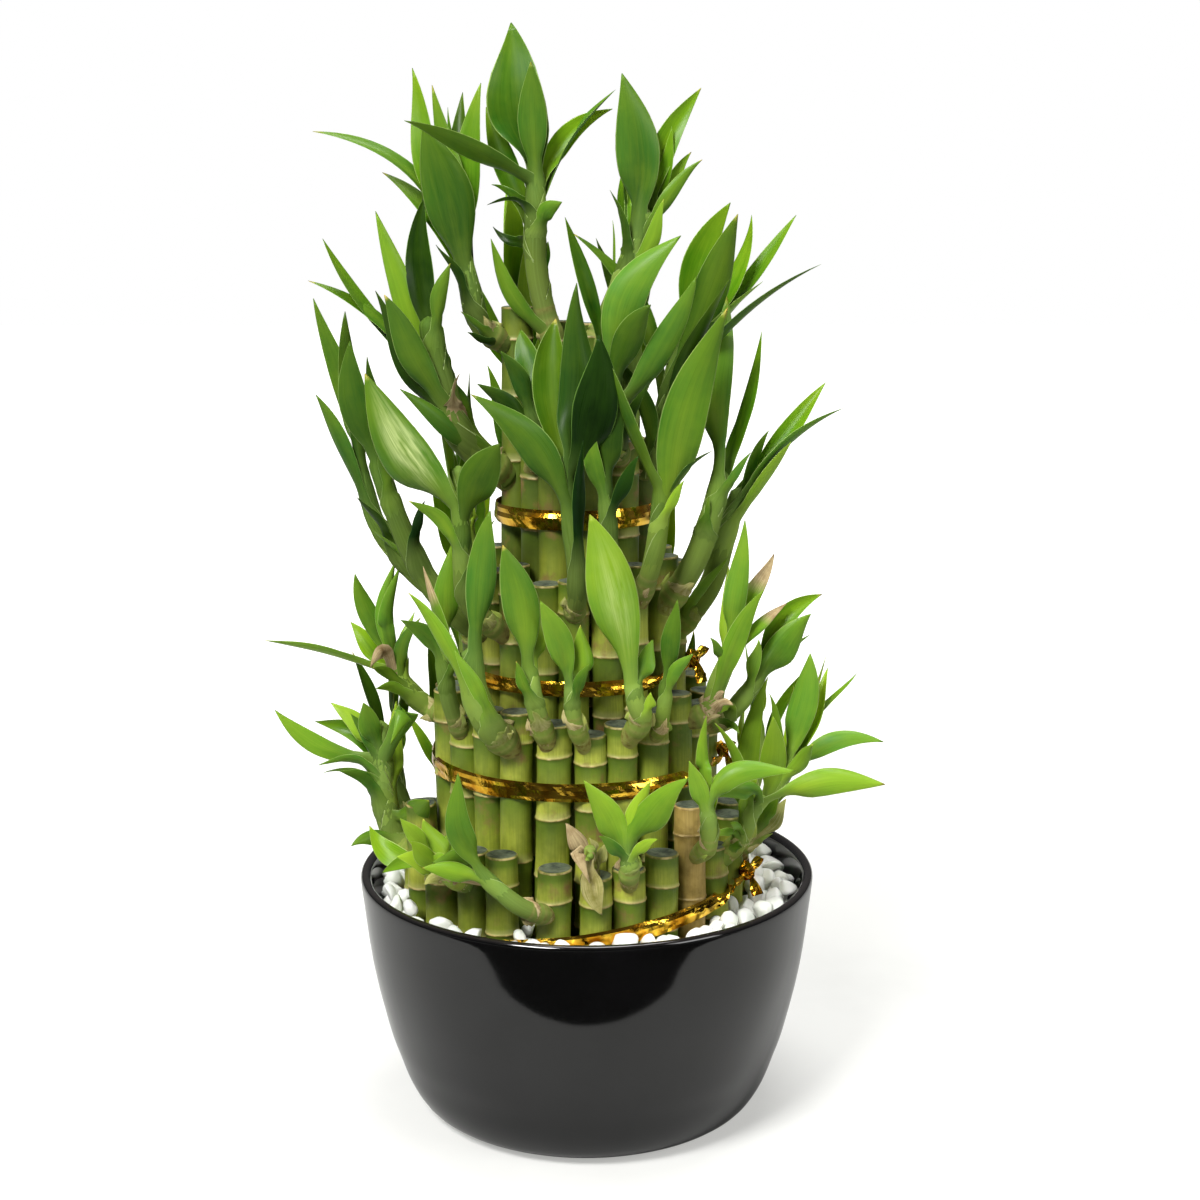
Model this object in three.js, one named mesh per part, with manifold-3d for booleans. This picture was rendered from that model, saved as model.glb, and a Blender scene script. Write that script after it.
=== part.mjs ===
// Lucky bamboo: cut canes tied in stepped tiers, standing in a glazed bowl of quartz pebbles.
// Millimetres, +Z up, origin at the centre of the bowl's foot.

import * as THREE from 'three';
import { mergeVertices } from 'three/addons/utils/BufferGeometryUtils.js';
import Module from 'manifold-3d';

const wasm = await Module();
wasm.setup();

// Driving dimensions
const POT_HEIGHT = 88.5;
const POT_WALL = 4;
const POT_FLOOR = 6;
const POT_SIDES = 28;
const CLEAR = 0.35;            // gap between pieces that touch
const CANE_RADIUS = 5.4;
const CANE_SIDES = 7;
const JOINT_SWELL = 0.3;       // how far a cane's joint stands out
const BUNDLE_X = -4;           // the tied bundle stands a little left of the bowl's middle
const FOIL_WIDTH = 5;
const FOIL_THICK = 0.8;
const BLADE_THICK = 1.4;       // at the midrib, running out to the edges
const SHOOT_SIDES = 4;

const v3 = (x, y, z) => new THREE.Vector3(x, y, z);
const lerp = THREE.MathUtils.lerp;

// The same draw of numbers every run
let seed = 2024;
function random() {
  seed = (seed * 1103515245 + 12345) % 2147483648;
  return seed / 2147483648;
}

// Solids in and out of the join and cut library
function toSolid(geometry) {
  const bare = geometry.clone();
  for (const name of ['normal', 'uv']) {
    bare.deleteAttribute(name);
  }
  const merged = mergeVertices(bare, 1e-4);
  const corner = merged.index.array;
  const kept = [];
  for (let i = 0; i < corner.length; i += 3) {
    const [a, b, c] = [corner[i], corner[i + 1], corner[i + 2]];
    if (a !== b && b !== c && c !== a) {
      kept.push(a, b, c);
    }
  }
  return new wasm.Manifold(new wasm.Mesh({
    numProp: 3,
    vertProperties: new Float32Array(merged.attributes.position.array),
    triVerts: new Uint32Array(kept),
  }));
}

function toGeometry(solid) {
  const mesh = solid.getMesh();
  const geometry = new THREE.BufferGeometry();
  geometry.setAttribute('position', new THREE.BufferAttribute(mesh.vertProperties, 3));
  geometry.setIndex(new THREE.BufferAttribute(mesh.triVerts, 1));
  return geometry;
}

function joined(solids) {
  return solids.reduce((sum, solid) => sum.add(solid)).simplify(0.02);
}

// A closed skin over rings of points, ending in a point or flat; both faces of a blade are split alike
function skin(rings, tip) {
  const count = rings[0].length;
  const points = [...rings.flat(), ...(tip ? [tip] : [])];
  const index = [];
  for (let j = 1; j < count - 1; j += 1) {
    index.push(0, j, j + 1);
  }
  for (let i = 0; i < rings.length - 1; i += 1) {
    for (let j = 0; j < count; j += 1) {
      const a = i * count + j;
      const b = i * count + (j + 1) % count;
      const [c, d] = [a + count, b + count];
      index.push(...(j % 2 ? [a, c, b, b, c, d] : [a, d, b, a, c, d]));
    }
  }
  const end = (rings.length - 1) * count;
  for (let j = 0; tip && j < count; j += 1) {
    index.push(end + (j + 1) % count, end + j, points.length - 1);
  }
  for (let j = 1; !tip && j < count - 1; j += 1) {
    index.push(end, end + j + 1, end + j);
  }
  const geometry = new THREE.BufferGeometry().setFromPoints(points);
  geometry.setIndex(index);
  return toSolid(geometry);
}

// Turned shapes, from a profile of [radius, height] that starts and ends on the axis or closes
function turned(profile, sides, turn = 0) {
  const points = profile.map(([r, z]) => new THREE.Vector2(r, z));
  const geometry = new THREE.LatheGeometry(points, sides, turn);
  return geometry.rotateX(Math.PI / 2);
}

// The bowl: a glazed pot with a rounded foot, a swelling side and a rounded lip
const POT_OUTSIDE = [
  [0, 0], [51.6, 0], [63.8, 4], [69.8, 20], [74.3, 35], [78.7, 55], [81, 72], [82.7, 87],
];
const POT_LIP = [[81.8, POT_HEIGHT], [79.8, POT_HEIGHT]];

function potRadius(height) {
  const after = POT_OUTSIDE.findIndex(([, z], i) => i > 1 && z >= height);
  const [[r0, z0], [r1, z1]] = [POT_OUTSIDE[after - 1], POT_OUTSIDE[after]];
  return lerp(r0, r1, (height - z0) / (z1 - z0));
}

const insideRadius = (height) => potRadius(height) - POT_WALL;

function potGeometry() {
  const inside = [86, 55, 20, 10].map((z) => [insideRadius(z), z]);
  const profile = [...POT_OUTSIDE, ...POT_LIP, ...inside, [56, POT_FLOOR], [0, POT_FLOOR]];
  return toGeometry(toSolid(turned(profile, POT_SIDES)));
}

// The bed: quartz pebbles packed round the bundle, as one ring with stones standing out of its top
const BED_TOP = 76;
const LEDGE = 26;              // the outermost canes stand on pebbles, as the bowl narrows below them
const BED_HOLE = 67;           // open round the outermost canes and their loose tie
const LEDGE_HOLE = 51.8;       // open round the canes that stand on the bowl's floor
const BED_SIDES = 28;
const PEBBLE_ROWS = [
  { radius: 71.2, count: 15, height: 73.2 },
  { radius: 73.4, count: 19, height: 75.2 },
];

function bedGeometry() {
  const floor = POT_FLOOR + CLEAR;
  const side = [10, 20, 55, BED_TOP].map((z) => [insideRadius(z) - 2 * CLEAR, z]);
  const fill = toSolid(turned([[0, floor], [54, floor], ...side, [0, BED_TOP]], BED_SIDES));
  const hole = [
    [0, 0], [LEDGE_HOLE, 0], [LEDGE_HOLE, LEDGE], [BED_HOLE, LEDGE], [BED_HOLE, 100], [0, 100]];
  const room = toSolid(turned(hole, BED_SIDES).translate(BUNDLE_X, 0, 0));
  const stones = [fill.subtract(room)];
  for (const { radius, count, height } of PEBBLE_ROWS) {
    for (let k = 0; k < count; k += 1) {
      const angle = (k + 0.5 * random()) * 2 * Math.PI / count;
      const size = 4.2 + random();
      const stone = new THREE.OctahedronGeometry(size);
      stone.scale(1, 0.9, 0.8);
      stone.rotateX(random() * 3).rotateZ(random() * 3);
      const far = Math.min(radius + random() - 0.5, insideRadius(height) - size - 0.6);
      stone.translate(far * Math.cos(angle), far * Math.sin(angle), height + random());
      stones.push(toSolid(stone));
    }
  }
  return toGeometry(joined(stones));
}

// The canes stand in rings round the heart of the bundle. Each row is one node: the angle of its first
// cane, from the front to the right in degrees, and how many canes press together from there on.
// A tier is seen down to the tops of the next, so its canes have their joints above that height.
const TIERS = [
  { name: 'heart', radius: 8.1, top: 283, seen: 250, rows: [[-40, 2], [140, 2]] },
  {
    name: 'upper', radius: 22, top: 246, seen: 200,
    rows: [[-82, 1], [-44.4, 2], [20.1, 2], [84.6, 2], [149.1, 2], [213.6, 2]],
  },
  {
    name: 'middle', radius: 33.8, top: 202, seen: 150,
    rows: [
      [-18.7, 2], [21.3, 2], [61.3, 2], [101.3, 2], [141.3, 2], [181.3, 2], [221.3, 2], [261.3, 2],
      [301.3, 2],
    ],
  },
  {
    name: 'lower', radius: 45.6, top: 154, seen: 102,
    rows: [
      [-72, 1], [-56, 1], [-41, 1], [-26.3, 1], [-10, 1], [6, 1], [21, 1], [36, 1], [51, 1], [67, 1],
      [82.4, 2], [110.7, 2], [139, 2], [167.3, 2], [195.6, 2], [223.9, 2], [252.2, 2],
    ],
  },
  {
    name: 'outer', radius: 57.4, top: 107, seen: 76,
    rows: [
      [-70, 1], [-54, 1], [-38.2, 1], [-25.4, 1], [-6.9, 1], [6.5, 1], [18.6, 1], [31.2, 1], [43, 1],
      [56, 1], [72, 1], [86, 1], [99, 3], [132.5, 3], [166, 3], [199.5, 3], [233, 3], [266.5, 2],
    ],
  },
];
const PRESSED = 10.2;          // from middle to middle of canes that press together

// Canes cut longer or shorter than their tier
const CUT_HEIGHTS = {
  upper1: 291, middle5: 206, lower1: 158, lower6: 150, lower9: 160, outer1: 118, outer9: 124, outer11: 113,
};

const STAND = { outer: LEDGE + CLEAR };
const JOINT_PITCH = 42;

function caneGeometry(cane) {
  const profile = [[0, cane.base], [CANE_RADIUS, cane.base]];
  for (const height of cane.joints) {
    profile.push([CANE_RADIUS + JOINT_SWELL, height]);
  }
  profile.push([CANE_RADIUS, cane.top], [0, cane.top]);
  const turn = THREE.MathUtils.degToRad(cane.angle);
  return turned(profile, CANE_SIDES, turn).translate(cane.x, cane.y, 0);
}

// Every cane by name, with its place, its cut top and its joints from the top down
const canes = {};
const nodes = [];
for (const tier of TIERS) {
  let number = 0;
  const step = 2 * THREE.MathUtils.radToDeg(Math.asin(PRESSED / 2 / tier.radius));
  for (const [row, [first, count]] of tier.rows.entries()) {
    const members = Array.from({ length: count }, (_, k) => {
      number += 1;
      const name = `${tier.name}${number}`;
      const angle = first + k * step;
      const out = THREE.MathUtils.degToRad(angle);
      const top = CUT_HEIGHTS[name] ?? tier.top + 3 * Math.sin(5 * number);
      const joints = [];
      for (let z = top - 9 - 2 * Math.abs(Math.sin(number)); z > tier.seen; z -= JOINT_PITCH) {
        joints.unshift(z);
      }
      const x = BUNDLE_X + tier.radius * Math.sin(out);
      const y = -tier.radius * Math.cos(out);
      const base = STAND[tier.name] ?? POT_FLOOR + CLEAR;
      canes[name] = { name, angle, x, y, base, top, joints, shoots: [] };
      return canes[name];
    });
    const kind = members.length > 1 ? 'canes' : 'cane';
    nodes.push({ name: `${tier.name}_${kind}_${row + 1}`, members });
  }
}

// Shoots on the front and sides, one row each: the cane, the height at which the shoot leaves it,
// the points that its stem passes, then its leaves as [place along the stem, tip x, y, z, width].
const SHOOTS = [
  ['upper1', 277, [[-36, -9, 284], [-41, -13, 302], [-44, -14, 323]], [
    [1, -35, -16, 365, 10], [0.95, -46, -12, 357, 8.5], [0.9, -51, -24, 363, 10],
    [0.85, -59, -4, 371, 10], [0.8, -42, 4, 363, 9.5], [0.75, -91, -14, 349, 7.5], [0.55, -38, 2, 335, 6],
    [0.5, -70, -6, 336, 8], [0.45, -50, -28, 348, 16.5]]],
  ['heart1', 270, [[-16, -8, 293], [-17, -10, 315], [-18, -10, 340]], [
    [1, -25, -4, 385, 19], [0.92, -18, -20, 371, 11], [0.87, -33, -20, 357, 8.5], [0.82, 9, -4, 356, 8],
    [0.77, -62, 20, 353, 8], [0.72, 11, 10, 366, 6],
    [0.3, -32, -18, 314, 6]]],
  ['heart2', 270, [[7, -6, 286], [14, -8, 303], [23, -8, 327]], [
    [1, 39, -2, 364, 11.5], [0.94, 28, -18, 350, 8], [0.88, 35, 4, 347, 7], [0.82, 12, -12, 368, 16.5],
    [0.76, 39, -12, 340, 6.5], [0.7, 10, 4, 344, 7]]],
  ['upper5', 238, [[9, -28, 251], [8, -30, 268], [7, -30, 286]], [
    [1, -7, -22, 321, 8.5], [0.94, 31, -36, 314, 11], [0.88, 18, -22, 306, 8.5], [0.75, 22, -42, 295, 15],
    [0.6, 36, -30, 302, 10.5]]],
  ['upper6', 233, [[24, -10, 240], [29, -14, 262], [37, -14, 297]], [
    [1, 49, -8, 326, 11], [0.92, 57, 0, 322, 9.5], [0.87, 79, -14, 305, 7.5],
    [0.77, 50, -28, 322, 15], [0.67, -1, 0, 316, 9], [0.5, 47, -34, 301, 8],
    [0.28, 7, -26, 279, 6]]],
  ['middle2', 186, [[-3, -44, 199], [-4, -44, 216], [-5, -43, 233]], [
    [1, 5, -40, 283, 14.5], [0.94, -4, -32, 301, 10.5], [0.88, -10, -54, 289, 13.5],
    [0.72, -37, -56, 265, 11]]],
  ['upper2', 235, [[-16, -29, 245], [-18, -31, 255], [-19, -31, 263]], [
    [1, -22, -28, 284, 8.5], [0.9, -11, -38, 278, 7], [0.8, -28, -40, 278, 6.5],
    [0.5, -36, -36, 267, 6]]],
  ['middle3', 189, [[8, -43, 207], [7, -44, 223], [6, -44, 236]], [
    [1, 12, -46, 264, 8], [0.85, 0, -48, 259, 6]]],
  ['upper1', 230, [[-40, -16, 241], [-50, -20, 265], [-54, -22, 288]], [
    [1, -69, -22, 323, 10], [0.95, -45, -30, 306, 8], [0.9, -88, -16, 314, 8],
    [0.85, -57, -12, 325, 11.5], [0.8, -66, -36, 297, 8], [0.75, -92, -28, 301, 7.5],
    [0.6, -73, -10, 278, 7]]],
  ['middle16', 182, [[-47, -9, 188], [-58, -12, 195], [-68, -14, 208], [-77, -14, 232]], [
    [1, -93, -10, 294, 9.5], [0.94, -80, -18, 292, 11.5], [0.85, -92, -18, 262, 7.5],
    [0.79, -82, -4, 252, 7.5]]],
  ['middle17', 178, [[-43, -21, 184], [-53, -24, 192], [-59, -28, 213], [-64, -28, 235]], [
    [1, -79, -31, 282, 12], [0.94, -64, -20, 267, 9],
    [0.7, -50, -36, 235, 6]]],
  ['middle18', 178, [[-40, -40, 195], [-41, -44, 209], [-41, -44, 221]], [
    [1, -72, -42, 270, 15.5], [0.94, -27, -52, 250, 10.5]]],
  ['middle4', 189, [[22, -36, 203], [25, -40, 220], [26, -41, 235]], [
    [1, 47, -42, 292, 15], [0.9, 21, -38, 255, 6.5]]],
  ['middle5', 185, [[35, -26, 200], [39, -28, 215], [46, -28, 237]], [
    [1, 47, -22, 294, 12.5], [0.94, 61, -12, 281, 7.5], [0.85, 55, -34, 258, 6.5]]],
  ['middle6', 174, [[42, -12, 189], [46, -14, 208], [51, -14, 226]], [
    [1, 84, -6, 265, 10.5], [0.94, 88, -18, 258, 9], [0.85, 54, 2, 248, 8], [0.75, 62, -24, 251, 7],
    [0.6, 39, -18, 241, 6]]],
  ['lower9', 149, [[40, -30, 154], [47, -28, 164], [49, -28, 175], [51, -28, 184]], [
    [1, 54, -26, 220, 9.5], [0.94, 40, -34, 208, 6], [0.88, 81, -28, 195, 8]]],
  ['lower10', 144, [[51, -16, 150], [57, -18, 158], [61, -18, 167]], [
    [1, 80, -8, 184, 10.5], [0.94, 62, 0, 180, 6.5], [0.88, 60, -15, 192, 7], [0.6, 69, -30, 172, 6]]],
  ['outer11', 98, [[59, -18, 107], [63, -22, 121], [69, -22, 132]], [
    [1, 78, -18, 171, 11], [0.94, 86, -8, 164, 7], [0.88, 104, -24, 141, 8.5],
    [0.76, 64, -34, 155, 9.5], [0.6, 64, -6, 159, 6.5]]],
  ['outer10', 97, [[54, -34, 108], [56, -38, 119], [58, -39, 125]], [
    [1, 102, -42, 131, 11.5], [0.9, 45, -34, 131, 6], [0.8, 50, -46, 146, 7.5]]],
  ['outer9', 104, [[41, -52, 113], [41, -54, 121], [40, -54, 127]], [
    [1, 70, -56, 140, 8], [0.94, 34, -58, 144, 6.5]]],
  ['outer4', 96, [[-27, -64, 106], [-31, -66, 112], [-35, -66, 116]], [
    [1, -41, -66, 143, 10]]],
  ['outer3', 96, [[-42, -54, 106], [-47, -56, 110], [-51, -56, 112]], [
    [1, -65, -58, 118, 7.5], [0.94, -54, -52, 129, 7.5], [0.88, -74, -46, 118, 6],
    [0.82, -60, -66, 110, 6], [0.76, -45, -62, 128, 6.5]]],
  ['lower4', 143, [[-33, -54, 156], [-37, -56, 168], [-38, -56, 182]], [
    [1, -33, -58, 223, 10.5], [0.8, -54, -48, 208, 6],
    [0.7, -58, -58, 201, 8.5]]],
  ['lower5', 143, [[-16, -56, 159], [-18, -57, 168], [-19, -57, 177]], [
    [1, -27, -60, 217, 14], [0.9, -17, -50, 200, 7.5]]],
  ['lower6', 142, [[-4, -56, 157], [-5, -57, 165], [-5, -57, 170]], [
    [1, -15, -62, 199, 9], [0.94, -2, -52, 189, 7.5]]],
  ['lower7', 145, [[18, -54, 158], [16, -56, 165], [15, -56, 171]], [
    [1, 1, -60, 227, 21], [0.9, 22, -52, 184, 6.5]]],
  ['lower8', 145, [[25, -48, 154], [26, -50, 163], [26, -50, 170]], [
    [1, 30, -50, 197, 6.5]]],
  ['outer7', 98, [[14, -66, 108], [14, -67, 112], [13, -67, 116]], [
    [1, -1, -70, 141, 10], [0.94, 33, -74, 143, 11], [0.88, 21, -64, 139, 7]]],
  ['lower1', 148, [[-58, -10, 153], [-66, -10, 160], [-71, -10, 169]], [
    [1, -82, -8, 198, 9], [0.94, -113, -16, 176, 7.5], [0.88, -76, 4, 190, 7],
    [0.76, -66, -18, 204, 8.5], [0.6, -59, -4, 188, 8]]],
  ['outer1', 97, [[-66, -14, 102], [-72, -11, 109], [-78, -10, 125]], [
    [1, -111, -12, 149, 10.5], [0.95, -98, 0, 143, 7], [0.9, -89, -20, 155, 7], [0.85, -84, -4, 149, 8],
    [0.8, -75, -22, 156, 8.5], [0.7, -69, 0, 142, 9.5],
    [0.6, -87, -30, 132, 7], [0.4, -60, -28, 123, 10], [0.3, -84, -22, 103, 7]]],
  ['lower2', 141, [[-46, -34, 155], [-48, -38, 167], [-49, -38, 181]], [
    [1, -45, -34, 214, 8.5], [0.85, -62, -44, 189, 6]]],
];

// Shoots round the back, by rule: the cane, how far the shoot rises, how many leaves it has and how
// many degrees it swings round from its cane
const BACK_SHOOTS = [
  ['heart3', 30, 4, -35], ['upper8', 52, 5, -12], ['upper10', 44, 5, 0], ['middle14', 30, 5, 10],
  ['middle10', 44, 6, 0], ['middle12', 52, 5, 0], ['lower16', 34, 5, 25], ['lower18', 36, 5, 0],
  ['lower21', 42, 5, 0], ['outer14', 24, 5, 0], ['outer17', 24, 5, 0], ['outer20', 24, 5, 0],
  ['outer23', 26, 5, 0], ['outer25', 24, 5, -30], ['outer27', 26, 5, 0],
];
const LEAF_TURN = 137.5;       // each leaf stands this many degrees round from the one below

function backShoot([name, rise, count, swing]) {
  const cane = canes[name];
  const out = THREE.MathUtils.degToRad(cane.angle + swing);
  const away = (distance, height) => [
    cane.x + distance * Math.sin(out), cane.y - distance * Math.cos(out), height];
  const height = cane.joints.at(-1);
  const stem = [away(11, height + 9), away(14, height + 9 + rise / 2), away(15, height + 9 + rise)];
  const leaves = [];
  for (let k = 0; k < count; k += 1) {
    const up = k / (count - 1);
    const turn = THREE.MathUtils.degToRad(LEAF_TURN * (k + rise));
    const outward = 0.5 + 0.5 * Math.cos(turn);
    const length = lerp(30, 52, Math.sin(2.2 * up)) * (rise > 30 ? 1 : 0.75);
    const lean = THREE.MathUtils.degToRad(lerp(52, 12, up) * lerp(0.2, 1, outward));
    const along = lerp(0.45, 1, up);
    const [x, y, z] = away(lerp(11, 15, along), height + 9 + along * rise);
    const across = length * Math.sin(lean);
    leaves.push([
      along, x + across * Math.sin(out + turn), y - across * Math.cos(out + turn),
      z + length * Math.cos(lean), length / 5,
    ]);
  }
  return [name, height, stem, leaves];
}

const SHOOT_BASE = 3.3;
const SHOOT_END = 1.7;

function stemCurve(cane, height, stem) {
  const start = v3(cane.x, cane.y, height);
  return new THREE.CatmullRomCurve3([start, ...stem.map((point) => v3(...point))]);
}

// The stem's middle, its run and a spoke out of it at a part of a full turn
function stemFrame(curve, place) {
  const at = curve.getPoint(place);
  const run = curve.getTangent(place);
  const side = v3(run.y, -run.x, 0.001).normalize();
  const front = side.clone().cross(run).normalize();
  side.crossVectors(run, front);
  const radius = lerp(SHOOT_BASE, SHOOT_END, place);
  const spoke = (part) => side.clone().multiplyScalar(Math.cos(2 * Math.PI * part))
    .addScaledVector(front, Math.sin(2 * Math.PI * part));
  return { at, run, side, front, radius, spoke };
}

function stemSolid(curve, stations) {
  const rings = [];
  for (let i = 0; i <= stations; i += 1) {
    const { at, radius, spoke } = stemFrame(curve, i / stations);
    const ring = [];
    for (let k = 0; k < SHOOT_SIDES; k += 1) {
      ring.push(at.clone().addScaledVector(spoke(k / SHOOT_SIDES), radius));
    }
    rings.push(ring);
  }
  return skin(rings);
}

// A blade stands on one facet of the stem, or on its end, and bends out to its tip: flat above, with a
// keel below. The rows give, for blades up to a width, its share of that width along its length.
const BLADES = [
  { upTo: 8.3, shares: [[0.4, 1]] },
  { upTo: 12, shares: [[0.3, 1], [0.65, 0.8]] },
  { upTo: 30, shares: [[0.22, 0.85], [0.48, 1], [0.76, 0.7]] },
];
const NECK = 2;                // width of a blade where it leaves the stem
const SUNK = 0.8;
const SIDE_ANGLE = 1.9;        // shoots at the front and sides, within this angle of the front,
const SIDE_SHARE = 0.4;        // turn their blades to the light by this share of their own angle
const LEAF_TWIST = 0.45;

function bladeSolid(curve, [place, x, y, z, width]) {
  const { at: middle, run, side, front, radius, spoke } = stemFrame(curve, place);
  const tip = v3(x, y, z);
  const reach = tip.clone().sub(middle);
  const facet = Math.floor(SHOOT_SIDES * Math.atan2(reach.dot(front), reach.dot(side)) / (2 * Math.PI));
  const facing = spoke((facet + 0.5) / SHOOT_SIDES);
  const base = middle.clone().addScaledVector(run, -1);
  if (place < 1) {
    base.copy(middle).addScaledVector(facing, radius * Math.cos(Math.PI / SHOOT_SIDES) - SUNK);
    run.addScaledVector(facing, 0.7);
  }
  const bend = base.clone().addScaledVector(run.normalize(), 0.4 * reach.length());
  const line = new THREE.QuadraticBezierCurve3(base, bend, tip);
  const round = Math.atan2(base.x - BUNDLE_X, -base.y);
  const faced = Math.abs(round) < SIDE_ANGLE ? SIDE_SHARE * round : round;
  const toward = faced + LEAF_TWIST * Math.sin(9 * width);
  const outward = v3(Math.sin(toward), -Math.cos(toward), -1);
  const { shares } = BLADES.find(({ upTo }) => width < upTo);
  const rings = [[0, NECK / width], ...shares].map(([t, share]) => {
    const at = line.getPoint(t);
    const along = line.getTangent(t);
    const under = outward.clone().addScaledVector(along, -outward.dot(along)).normalize();
    const across = along.clone().cross(under).multiplyScalar(0.5 * width * share);
    at.addScaledVector(under, -0.5 * BLADE_THICK);
    return [
      at.clone().add(across), at.clone().addScaledVector(under, BLADE_THICK), at.clone().sub(across)];
  });
  return skin(rings, tip);
}

function shootSolids([name, height, stem, leaves]) {
  const curve = stemCurve(canes[name], height, stem);
  return [stemSolid(curve, stem.length), ...leaves.map((leaf) => bladeSolid(curve, leaf))];
}

for (const shoot of [...SHOOTS, ...BACK_SHOOTS.map(backShoot)]) {
  canes[shoot[0]].shoots.push(shoot);
}

function nodeGeometry({ members }) {
  const solids = members.map((cane) => toSolid(caneGeometry(cane)));
  for (const shoot of members.flatMap((cane) => cane.shoots)) {
    solids.push(...shootSolids(shoot));
  }
  return toGeometry(joined(solids));
}

// Foil ties: a flat band round each tier, with its ends twisted into a knot
const TIES = [
  { name: 'upper_tie', radius: 22, height: 220, knot: 88, tilt: 0 },
  { name: 'middle_tie', radius: 33.8, height: 164, knot: 80, tilt: 0 },
  { name: 'lower_tie', radius: 45.6, height: 131, knot: 82, tilt: 0 },
  { name: 'outer_tie', radius: 57.4, height: 84, knot: 70, tilt: 0.045 },
];
const TIE_SIDES = 28;

function tieGeometry({ radius, height, knot, tilt }) {
  const inside = (radius + CANE_RADIUS + JOINT_SWELL + 0.4) / Math.cos(Math.PI / TIE_SIDES);
  const outside = inside + FOIL_THICK;
  const half = FOIL_WIDTH / 2;
  const profile = [[inside, -half], [outside, -half], [outside, half], [inside, half], [inside, -half]];
  const band = turned(profile, TIE_SIDES);
  const turn = THREE.MathUtils.degToRad(knot);
  const parts = [toSolid(band)];
  const twist = new THREE.OctahedronGeometry(3.2).scale(0.8, 1.1, 1);
  twist.translate(0, -outside - 2, 0).rotateZ(turn);
  parts.push(toSolid(twist));
  for (const side of [-1, 1]) {
    const tail = new THREE.BoxGeometry(FOIL_THICK, 9, 4);
    tail.rotateX(0.4 * side).rotateZ(0.5 * side);
    tail.translate(2 * side, -outside - 5, 2 * side).rotateZ(turn);
    parts.push(toSolid(tail));
  }
  const tie = toGeometry(joined(parts));
  return tie.rotateY(-tilt).translate(BUNDLE_X, 0, height);
}

// Finishes
const glaze = { color: 0x0b0b0c, roughness: 0.12, metalness: 0 };
const quartz = { color: 0xe4e8e2, roughness: 0.4, metalness: 0 };
const foil = { color: 0xd9a02a, roughness: 0.25, metalness: 1 };
const plant = { color: 0x6f9a34, roughness: 0.45, metalness: 0 };

const bamboo = new THREE.Group();

function place(name, geometry, finish) {
  const mesh = new THREE.Mesh(geometry, new THREE.MeshStandardMaterial({ ...finish, flatShading: true }));
  mesh.name = name;
  bamboo.add(mesh);
}

place('pot', potGeometry(), glaze);
place('pebble_bed', bedGeometry(), quartz);
for (const tie of TIES) {
  place(tie.name, tieGeometry(tie), foil);
}
for (const node of nodes) {
  place(node.name, nodeGeometry(node), plant);
}

export default bamboo;
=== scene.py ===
import math
from collections import namedtuple

import bmesh
import bpy
import numpy as np
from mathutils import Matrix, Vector


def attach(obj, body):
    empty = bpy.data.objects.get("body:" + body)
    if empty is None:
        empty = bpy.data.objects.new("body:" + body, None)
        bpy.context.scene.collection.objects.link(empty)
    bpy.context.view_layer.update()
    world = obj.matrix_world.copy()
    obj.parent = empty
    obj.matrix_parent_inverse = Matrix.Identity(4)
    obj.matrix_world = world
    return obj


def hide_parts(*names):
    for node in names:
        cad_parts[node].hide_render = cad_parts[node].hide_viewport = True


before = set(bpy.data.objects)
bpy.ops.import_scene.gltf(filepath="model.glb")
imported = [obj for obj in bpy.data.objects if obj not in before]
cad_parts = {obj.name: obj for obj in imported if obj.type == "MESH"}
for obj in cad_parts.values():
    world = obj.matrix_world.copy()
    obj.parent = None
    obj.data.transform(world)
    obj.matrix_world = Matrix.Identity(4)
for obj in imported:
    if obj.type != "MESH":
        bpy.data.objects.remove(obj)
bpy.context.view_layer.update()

# The camera stands in front of the bowl, a little above the middle of the plant, and looks down on it by
# eleven degrees, as the photograph was taken.
PHOTO_SIDE = 1200
FOCAL_PIXELS = 1852
CAMERA_PLACE = (0, -0.650, 0.3151)
LOOK_DOWN = 11.14
LOOK_ASIDE = 0.424
camera_data = bpy.data.cameras.new("camera")
camera_data.sensor_width = 36
camera_data.lens = camera_data.sensor_width * FOCAL_PIXELS / PHOTO_SIDE
camera = bpy.data.objects.new("camera", camera_data)
camera.location = CAMERA_PLACE
camera.rotation_euler = (math.radians(90 - LOOK_DOWN), 0, math.radians(-LOOK_ASIDE))
bpy.context.scene.collection.objects.link(camera)
bpy.context.scene.camera = camera


# The bowl: one pot of stoneware, thrown with a narrow foot and a rounded lip, dipped in a black glaze and
# fired. The foot's rim was wiped clean before the firing, so it shows bare brown clay.
MM = 0.001
BOWL_OUTSIDE = [
    (48, 0.4), (50, 0), (52.5, 0.2), (57.5, 1.4), (62, 4), (65.2, 8.5), (67.8, 14), (70.2, 21), (72.6, 28),
    (74.8, 36.5), (77, 46), (78.9, 56), (80.3, 66), (81.3, 75), (82.1, 82), (82.5, 86),
]
BOWL_LIP = [(82.4, 87.4), (81.8, 88.2), (80.9, 88.5), (80, 88.2), (79.1, 87.2), (78.6, 85.5)]
BOWL_INSIDE = [(77.8, 78), (76, 66), (74.4, 55), (68, 30), (62, 12), (56, 6), (30, 6), (0.01, 6)]
FOOT_RECESS = [(0.01, 2), (30, 2), (46, 2)]
BOWL_SIDES = 160
PROFILE_STEPS = 3


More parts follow.
